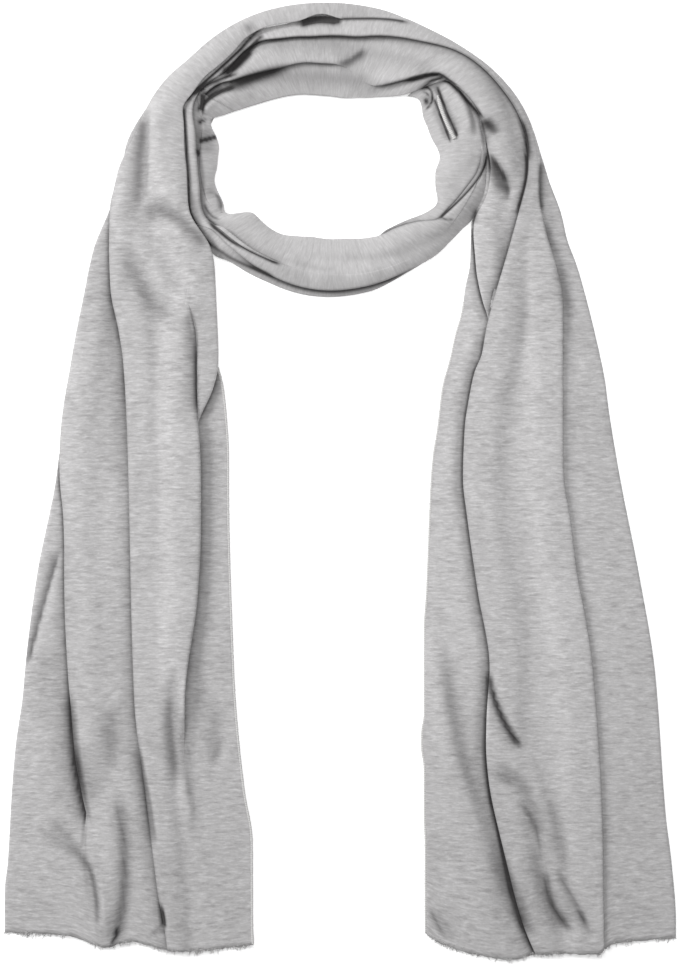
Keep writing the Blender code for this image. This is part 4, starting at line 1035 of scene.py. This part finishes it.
def reckon(tree, kind, place, *values):
    # a math node; each value is a plain number or another node's output
    node = addNode(tree, "ShaderNodeMath", place, operation=kind)
    for socket, value in zip(node.inputs, values):
        if isinstance(value, (int, float)):
            socket.default_value = value
        else:
            tree.links.new(value, socket)
    return node.outputs[0]


heather = {
    # share of the slub length, share of the thread pitch, shift, detail
    "slubs": (1.0, 0.62, 3.1, 2.0),
    "darkSlubs": (0.8, 0.5, 11.7, 2.0),
    "fineThreads": (3.2, 1.6, 7.3, 3.0),
    "crossThreads": (18.0, 0.35, 5.9, 2.0),
    "slubRange": (0.46, 0.82),  # of the noise, from no slub to a full one
    "fineTone": 1.1,
    "crossTone": 0.5,
    "slubHeight": 0.8,
    "fineHeight": 0.6,
    "crossHeight": 0.4,
}


def makeHeatherGroup(look):
    # slubs and threads of a melange weave: u runs along the short way of the cloth, v along the long
    group = bpy.data.node_groups.new("heatherWeave", "ShaderNodeTree")
    newSocket(group, "Vector", "Vector")
    newSocket(group, "Slub Length", "Float", 14.0)
    newSocket(group, "Thread Pitch", "Float", 0.9)
    newSocket(group, "Contrast", "Float", 1.0)
    for name in ("Tone", "Height", "Nap"):
        newSocket(group, name, "Float", out=True)
    start = addNode(group, "NodeGroupInput", (-1400, 0))
    end = addNode(group, "NodeGroupOutput", (900, 0))
    perLength = reckon(group, "DIVIDE", (-1200, 200), 1000.0, start.outputs["Slub Length"])
    perPitch = reckon(group, "DIVIDE", (-1200, 0), 1000.0, start.outputs["Thread Pitch"])
    streaks = {}
    for name, y in (("slubs", 400), ("darkSlubs", 200), ("fineThreads", 0), ("crossThreads", -200)):
        lengthShare, pitchShare, shift, detail = look[name]
        scale = addNode(group, "ShaderNodeCombineXYZ", (-900, y), inputs={2: 1.0})
        group.links.new(reckon(group, "MULTIPLY", (-1100, y), perLength, lengthShare), scale.inputs[0])
        group.links.new(reckon(group, "MULTIPLY", (-1100, y - 80), perPitch, pitchShare), scale.inputs[1])
        mapping, streaks[name] = mappedNoise(
            group, start.outputs["Vector"], (-300, y), detail, 0.55,
            Location=(shift, shift * 1.7, shift * 0.3))
        group.links.new(scale.outputs[0], mapping.inputs["Scale"])
    none, whole = look["slubRange"]
    light = ramp(group, streaks["slubs"], (0, 400), ((none, 0.0), (whole, 1.0)))
    dark = ramp(group, streaks["darkSlubs"], (0, 200), ((none, 0.0), (whole, 1.0)))
    difference = reckon(group, "SUBTRACT", (300, 300), light, dark)
    fine = reckon(group, "SUBTRACT", (300, 100), streaks["fineThreads"], 0.5)
    cross = reckon(group, "SUBTRACT", (300, 0), streaks["crossThreads"], 0.5)
    both = reckon(group, "ADD", (500, 50),
                  reckon(group, "MULTIPLY", (450, 100), fine, look["fineTone"]),
                  reckon(group, "MULTIPLY", (450, 0), cross, look["crossTone"]))
    tone = reckon(group, "ADD", (600, 250), difference, both)
    tone = reckon(group, "MULTIPLY", (700, 250), tone, start.outputs["Contrast"])
    group.links.new(tone, end.inputs["Tone"])
    height = reckon(group, "ADD", (600, -100),
                    reckon(group, "MULTIPLY", (450, -100), streaks["fineThreads"], look["fineHeight"]),
                    reckon(group, "MULTIPLY", (450, -200), streaks["crossThreads"], look["crossHeight"]))
    height = reckon(group, "ADD", (700, -100), height,
                    reckon(group, "MULTIPLY", (450, -300), streaks["slubs"], look["slubHeight"]))
    group.links.new(height, end.inputs["Height"])
    group.links.new(reckon(group, "ADD", (600, -400), fine, 0.5), end.inputs["Nap"])
    return group


heatherGroup = makeHeatherGroup(heather)


def wovenMaterial(name, look):
    # what the cloth and the overlock thread share: the weave, its nap and the plain values
    material = bpy.data.materials.new(name)
    material.use_nodes = True
    tree = material.node_tree
    shader = tree.nodes["Principled BSDF"]
    shader.location = (600, 0)
    shader.inputs["Specular IOR Level"].default_value = look["specular"]
    uv = addNode(tree, "ShaderNodeUVMap", (-1200, 0), uv_map="clothUV").outputs["UV"]
    weave = addNode(tree, "ShaderNodeGroup", (-800, 0), node_tree=heatherGroup, inputs={
        "Slub Length": look["slubLength"], "Thread Pitch": look["threadPitch"],
        "Contrast": look["contrast"]})
    tree.links.new(uv, weave.inputs["Vector"])
    rough = addNode(tree, "ShaderNodeMapRange", (200, -100), inputs={
        "To Min": look["roughness"][0], "To Max": look["roughness"][1]})
    tree.links.new(weave.outputs["Nap"], rough.inputs["Value"])
    tree.links.new(rough.outputs[0], shader.inputs["Roughness"])
    bump = addNode(tree, "ShaderNodeBump", (300, -300), inputs={
        "Strength": look["bump"], "Distance": look["bumpDepth"]})
    tree.links.new(bump.outputs["Normal"], shader.inputs["Normal"])
    return material, tree, shader, uv, weave, bump


clothLook = {
    "dark": (0.212, 0.206, 0.207),
    "middle": (0.379, 0.373, 0.375),
    "light": (0.575, 0.57, 0.575),
    "paintedShade": (0.085, 0.082, 0.083),  # painted shade colour, what's left of the colour down in a crease
    "hemShade": 0.07,
    "hemShadeSpan": (-0.30, -0.46),  # metres down the tail, where it starts and is full
    "slubLength": 6.5,  # mm
    "threadPitch": 0.85,  # mm
    "contrast": 0.7,
    "tailContrast": 0.5,
    "loopContrast": 0.3,
    "loopSpan": (-0.02, 0.04),  # metres along, where the tail's contrast becomes the loop's
    "clouds": (22, 30, 1),  # to a metre, the large soft patches of tone
    "cloudTone": 0.35,
    "specular": 0.25,
    "sheen": 0.12,
    "sheenRoughness": 0.5,
    "roughness": (0.82, 0.98),
    "bump": 0.35,
    "bumpDepth": 0.0004,
}


def clothMaterial(name, look):
    material, tree, shader, uv, weave, bump = wovenMaterial(name, look)
    shader.inputs["Sheen Weight"].default_value = look["sheen"]
    shader.inputs["Sheen Roughness"].default_value = look["sheenRoughness"]
    tree.links.new(weave.outputs["Height"], bump.inputs["Height"])
    cloudy = mappedNoise(tree, uv, (-500, 300), 2.0, 0.5, Scale=look["clouds"])[1]
    cloudy = reckon(tree, "SUBTRACT", (-400, 300), cloudy, 0.5)
    cloudy = reckon(tree, "MULTIPLY", (-300, 300), cloudy, look["cloudTone"])
    shifted = reckon(tree, "ADD", (-200, 200), weave.outputs["Tone"], cloudy)
    # v is above zero on the loop, where the threads show less
    parts = addNode(tree, "ShaderNodeSeparateXYZ", (-900, 500))
    tree.links.new(uv, parts.inputs[0])
    onLoop = addNode(tree, "ShaderNodeMapRange", (-700, 500), inputs={
        "From Min": look["loopSpan"][0], "From Max": look["loopSpan"][1],
        "To Min": look["tailContrast"], "To Max": look["loopContrast"]})
    tree.links.new(parts.outputs["Y"], onLoop.inputs["Value"])
    tone = reckon(tree, "MULTIPLY_ADD", (0, 200), shifted, onLoop.outputs[0], 0.5)
    stops = ((0.0, look["dark"]), (0.5, look["middle"]), (1.0, look["light"]))
    colour = ramp(tree, tone, (200, 200), stops)
    # towards the hems the cloth is a little darker
    towardsHem = addNode(tree, "ShaderNodeMapRange", (-500, 650), inputs={
        "From Min": look["hemShadeSpan"][0], "From Max": look["hemShadeSpan"][1],
        "To Min": 0.0, "To Max": look["hemShade"]})
    tree.links.new(parts.outputs["Y"], towardsHem.inputs["Value"])
    # painted shade: the laid crease and hollow marks, with the darkening towards the hems, multiply the
    # colour towards the painted shade colour
    marked = addNode(tree, "ShaderNodeAttribute", (0, 500), attribute_name="paintedShade")
    paintedShade = addNode(tree, "ShaderNodeMath", (250, 500), operation="ADD", use_clamp=True)
    tree.links.new(marked.outputs["Fac"], paintedShade.inputs[0])
    tree.links.new(towardsHem.outputs[0], paintedShade.inputs[1])
    # on a colour mix, sockets 6 and 7 are the two colours and output 2 is the result
    darker = addNode(tree, "ShaderNodeMix", (450, 300), data_type="RGBA", blend_type="MULTIPLY")
    darker.inputs[7].default_value = (*look["paintedShade"], 1)
    tree.links.new(paintedShade.outputs[0], darker.inputs[0])
    tree.links.new(colour, darker.inputs[6])
    tree.links.new(darker.outputs[2], shader.inputs["Base Color"])
    return material


edgeLook = {
    "pale": (0.52, 0.515, 0.51),
    "deep": (0.37, 0.362, 0.36),
    "stitch": 1.1,  # mm from one stitch to the next
    "slant": 0.35,  # of the stitches, in radians
    "slubLength": 2.0,
    "threadPitch": 0.5,
    "contrast": 0.5,
    "inset": 0.5,  # mm, in from the cloth's outermost thread
    "width": 1.7,
    "height": 1.1,
    "ringStep": 0.9,
    "sides": 10,
    "weaveWidth": 0.005,  # metres of weave once round it
    "swell": 0.07,  # how much thicker and thinner the edge gets
    "specular": 0.25,
    "roughness": (0.78, 0.95),
    "bump": 0.35,
    "bumpDepth": 0.0003,
}


def threadMaterial(name, look):
    # overlock thread: small slanting stitches round the edge
    material, tree, shader, uv, weave, bump = wovenMaterial(name, look)
    turned = addNode(tree, "ShaderNodeMapping", (-1000, -300), inputs={
        "Rotation": (0, 0, look["slant"]), "Scale": (1.0, 1000 / look["stitch"], 1.0)})
    tree.links.new(uv, turned.inputs["Vector"])
    wave = addNode(tree, "ShaderNodeTexWave", (-700, -300), bands_direction="Y", inputs={
        "Scale": 0.314, "Distortion": 1.2, "Detail": 1.0})  # at this scale one band is one unit long
    tree.links.new(turned.outputs[0], wave.inputs["Vector"])
    tone = reckon(tree, "MULTIPLY_ADD", (-300, 200), weave.outputs["Tone"], 0.5, wave.outputs["Fac"])
    colour = ramp(tree, tone, (0, 200), ((0.05, look["deep"]), (0.7, look["pale"])))
    tree.links.new(colour, shader.inputs["Base Color"])
    tree.links.new(wave.outputs["Fac"], bump.inputs["Height"])
    return material


def overlockedEdge(name, path, look, material, seed):
    # a grid rolled into a flattened tube along the cloth's edge
    run = runAlong(path)
    at = np.arange(0, run[-1], look["ringStep"])
    line = np.stack([np.interp(at, run, path[:, k]) for k in range(3)], axis=1)
    line[:, 0] += look["inset"] * (1 if line[0, 0] > 0 else -1)
    way = np.gradient(line, axis=0)
    way /= np.linalg.norm(way, axis=1)[:, None]
    sideways = np.cross(way, (0, 0, 1.0))
    sideways /= np.linalg.norm(sideways, axis=1)[:, None]
    up = np.cross(sideways, way)
    chance = np.random.default_rng(seed)
    swell = 1 + look["swell"] * chance.normal(size=(len(at), 1))
    swell[:3] *= 0.5  # it starts thin
    bm = bmesh.new()
    flatPlace = {}
    for k, corner in enumerate(gridCorners(bm, look["sides"] + 1, len(at))):
        row, column = divmod(k, look["sides"] + 1)
        angle = -2 * math.pi * column / look["sides"]
        beside = sideways[row] * look["width"] / 2 * math.cos(angle)
        above = up[row] * look["height"] / 2 * math.sin(angle)
        corner.co = (line[row] + swell[row] * (beside + above)) / 1000
        flatPlace[corner] = (column / look["sides"] * look["weaveWidth"], at[row] / 1000)
    unwrapped(bm, flatPlace)
    bmesh.ops.remove_doubles(bm, verts=bm.verts, dist=1e-6)
    bmesh.ops.recalc_face_normals(bm, faces=bm.faces)
    return finishPiece(name, bm, material)


def onCloth(points, drawn, near=2.5, lift=0.2):
    # a drawn line, lifted onto the top of the laid cloth
    line = softLine(drawn)
    flatPoints = points.reshape(-1, 3)
    tops = []
    for x, y in line:
        close = np.hypot(flatPoints[:, 0] - x, flatPoints[:, 1] - y) < near
        tops.append(flatPoints[close, 2].max() + lift)
    return np.column_stack([line, blurred(np.array([tops]), 2.0, 1)[0]])


hemLook = {
    "shapes": 12,
    "threads": 760,
    "perClump": 9,
    "clumpSpread": 2.2,  # mm
    "threadWidth": 0.30,  # mm
    "length": (1.4, 4.4),  # mm
    "bends": 4,
    "curl": 0.55,
    "in": (-0.0002, 0.0014),  # metres in from the raw end
    "up": (-0.0001, 0.0003),  # and above the middle of the cloth
    "tilt": (-0.1, 0.35),  # how far they point down or up
    "lowest": 0.00015,  # metres, so that none goes into the floor
}


def threadShape(chance, look):
    # one short curled thread, three-sided and closed at both ends
    thread = bmesh.new()
    ring = bmesh.ops.create_circle(
        thread, cap_ends=True, segments=3, radius=look["threadWidth"] / 2000)["verts"]
    uv = thread.loops.layers.uv.new("clothUV")
    heading = np.array([0, 0, 1.0])
    length = chance.uniform(*look["length"]) / (1000 * look["bends"])
    for _ in range(look["bends"]):
        top = [edge for edge in thread.edges if all(vert in ring for vert in edge.verts)]
        grown = bmesh.ops.extrude_edge_only(thread, edges=top)["geom"]
        ring = [part for part in grown if isinstance(part, bmesh.types.BMVert)]
        heading = heading + chance.normal(0, look["curl"], 3)
        heading /= np.linalg.norm(heading)
        bmesh.ops.translate(thread, verts=ring, vec=heading * length)
    bmesh.ops.contextual_create(thread, geom=ring)
    for face in thread.faces:
        for loop in face.loops:
            loop[uv].uv = (loop.vert.co.x, loop.vert.co.z)
    bmesh.ops.recalc_face_normals(thread, faces=thread.faces)
    shape = bpy.data.meshes.new("threadShape")
    thread.to_mesh(shape)
    thread.free()
    return shape


def frayedHem(name, row, look, material, seed):
    # short loose threads along a raw end, in clumps
    chance = np.random.default_rng(seed)
    shapes = [threadShape(chance, look) for _ in range(look["shapes"])]
    run = runAlong(row)
    clumps = chance.uniform(0, run[-1], look["threads"] // look["perClump"])
    spread = chance.normal(0, look["clumpSpread"], look["threads"])
    middles = clumps[chance.integers(len(clumps), size=look["threads"])]
    bm = bmesh.new()
    for at in np.clip(middles + spread, 0, run[-1]):
        place = Vector([np.interp(at, run, row[:, k]) / 1000 for k in range(3)])
        place.y += chance.uniform(*look["in"])
        place.z += chance.uniform(*look["up"])
        way = Vector((chance.normal(0, 1.0), -1, chance.uniform(*look["tilt"])))
        before = len(bm.verts)
        bm.from_mesh(shapes[chance.integers(len(shapes))])
        bm.verts.ensure_lookup_table()
        turn = way.to_track_quat("Z", "Y").to_matrix().to_4x4()
        spin = Matrix.Rotation(chance.uniform(0, 2 * math.pi), 4, "Z")
        bmesh.ops.transform(
            bm, matrix=Matrix.Translation(place) @ turn @ spin, verts=bm.verts[before:])
    for shape in shapes:
        bpy.data.meshes.remove(shape)
    for vert in bm.verts:
        vert.co.z = max(vert.co.z, look["lowest"])
    return finishPiece(name, bm, material)


scarfCloth = clothMaterial("scarfCloth", clothLook)
overlockThread = threadMaterial("overlockThread", edgeLook)
hemThread = clothMaterial("hemThread", {
    **clothLook, "middle": (0.50, 0.493, 0.493), "light": (0.62, 0.613, 0.613),
    "hemShade": 0.0, "contrast": 0.5})
print("materials made")


# How much of what lies below carries the cloth at a station, from 0 to 1.
def onBareFloor(station):
    return np.zeros_like(station)


def overInnerRight(station):
    # the second turn lies on the first only at the right, up to about 70 degrees
    rule = cloth["loopRule"]
    return eased((station + 72 * rule) / (16 * rule)) * eased((20 - station) / 20)


def overSecond(station):
    # over the top it comes down, to go under the right shoulder
    rule = cloth["loopRule"]
    return 1 - 0.97 * eased((station - 84 * rule) / (26 * rule))


def heapedOn(*laid):
    # the ground made by the cloth that already lies there
    heap = Ground()
    for points in laid:
        heap.add(points)
    heap.draped()
    return heap


frontRun, frontPoints, frontPaintedShade = layCloth(frontLoop, heapedOn(), onBareFloor)
secondRun, secondPoints, secondPaintedShade = layCloth(secondWrap, heapedOn(frontPoints), overInnerRight)
# where the two stretches of the second turn meet, they become one
joinShift = secondPoints[0] - frontPoints[0]
for k in range(settling["joinRows"]):
    frontPoints[k] += joinShift * (1 - k / settling["joinRows"])
firstRun, firstPoints, firstPaintedShade = layCloth(firstWrap, heapedOn(frontPoints, secondPoints), overSecond)

front = clothObject(frontLoop, frontRun, frontPoints, frontPaintedShade, scarfCloth)
second = clothObject(secondWrap, secondRun, secondPoints, secondPaintedShade, scarfCloth)
first = clothObject(firstWrap, firstRun, firstPoints, firstPaintedShade, scarfCloth)

edgeRuns = {
    "left": -128,  # the station from which the left tail's edge shows
    "right": 84,
    "slit": ((62.1, 251.7), (64.7, 242), (68.6, 232), (73.2, 223.3)),
    "slitWidth": 2.4,
}
leftPath = firstPoints[firstRun < edgeRuns["left"], -1][::-1]
leftEdge = overlockedEdge("left_tail_edge", leftPath, edgeLook, overlockThread, 21)
rightPath = secondPoints[secondRun > edgeRuns["right"], 0]
rightEdge = overlockedEdge("right_tail_edge", rightPath, edgeLook, overlockThread, 22)
slitPath = onCloth(frontPoints, edgeRuns["slit"])
slitLook = {**edgeLook, "width": edgeRuns["slitWidth"]}
slitEdge = overlockedEdge("inner_right_edge", slitPath, slitLook, overlockThread, 23)
leftHem = frayedHem("left_hem_fray", firstPoints[0], hemLook, hemThread, 31)
rightHem = frayedHem("right_hem_fray", secondPoints[-1], hemLook, hemThread, 32)
print("cloth, edges and hems done")

studio = {
    "scale": 0.65,  # mm of the surface to a pixel of the frame
    "frameHeight": 967,  # pixels
    "lens": 110,
    "sensor": 36,
    "centre": (-0.65, -0.2),  # mm, what the camera looks straight down on
    "floor": 0.95,
    "floorRoughness": 0.95,
    "floorDrop": 0.0002,  # metres under the cloth
    "glow": 0.28,  # keeps the floor almost free of shadows
    "sky": 0.33,
    "lights": (  # name, place in metres, size, power
        ("softTop", (0.15, 0.3, 1.4), 0.9, 13),
        ("softLeft", (-2.0, 1.05, 1.5), 1.1, 70),
    ),
}


def makeFloor(look):
    bm = bmesh.new()
    bmesh.ops.create_grid(bm, x_segments=1, y_segments=1, size=3)
    mesh = bpy.data.meshes.new("floor")
    bm.to_mesh(mesh)
    bm.free()
    paleFloor = bpy.data.materials.new("paleFloor")
    paleFloor.use_nodes = True
    shader = paleFloor.node_tree.nodes["Principled BSDF"]
    shader.inputs["Base Color"].default_value = (look["floor"],) * 3 + (1,)
    shader.inputs["Roughness"].default_value = look["floorRoughness"]
    shader.inputs["Emission Color"].default_value = (1, 1, 1, 1)
    shader.inputs["Emission Strength"].default_value = look["glow"]
    mesh.materials.append(paleFloor)
    floor = bpy.data.objects.new("floor", mesh)
    floor.location.z = -look["floorDrop"]
    bpy.context.scene.collection.objects.link(floor)


def makeLights(look):
    world = bpy.data.worlds.new("studio")
    bpy.context.scene.world = world
    world.use_nodes = True
    background = world.node_tree.nodes["Background"]
    background.inputs["Color"].default_value = (1, 1, 1, 1)
    background.inputs["Strength"].default_value = look["sky"]
    for name, place, size, power in look["lights"]:
        light = bpy.data.lights.new(name, "AREA")
        light.shape = "SQUARE"
        light.size = size
        light.energy = power
        lamp = bpy.data.objects.new(name, light)
        lamp.location = place
        x, y, z = place
        # turned to face the middle of the floor
        lamp.rotation_euler = (math.atan2(math.hypot(x, y), z), 0, math.atan2(y, x) + math.pi / 2)
        bpy.context.scene.collection.objects.link(lamp)


def makeCamera(look):
    # straight above, so high that a pixel of the frame is look["scale"] mm of the surface
    camera = bpy.data.cameras.new("overhead")
    camera.lens = look["lens"]
    camera.sensor_width = look["sensor"]
    camera.clip_end = 20
    height = look["frameHeight"] * look["scale"] / 1000 * look["lens"] / look["sensor"]
    eye = bpy.data.objects.new("overhead", camera)
    eye.location = (look["centre"][0] / 1000, look["centre"][1] / 1000, height)
    bpy.context.scene.collection.objects.link(eye)
    bpy.context.scene.camera = eye
    bpy.context.scene.view_settings.view_transform = "Standard"


makeFloor(studio)
makeLights(studio)
makeCamera(studio)
print("studio ready")
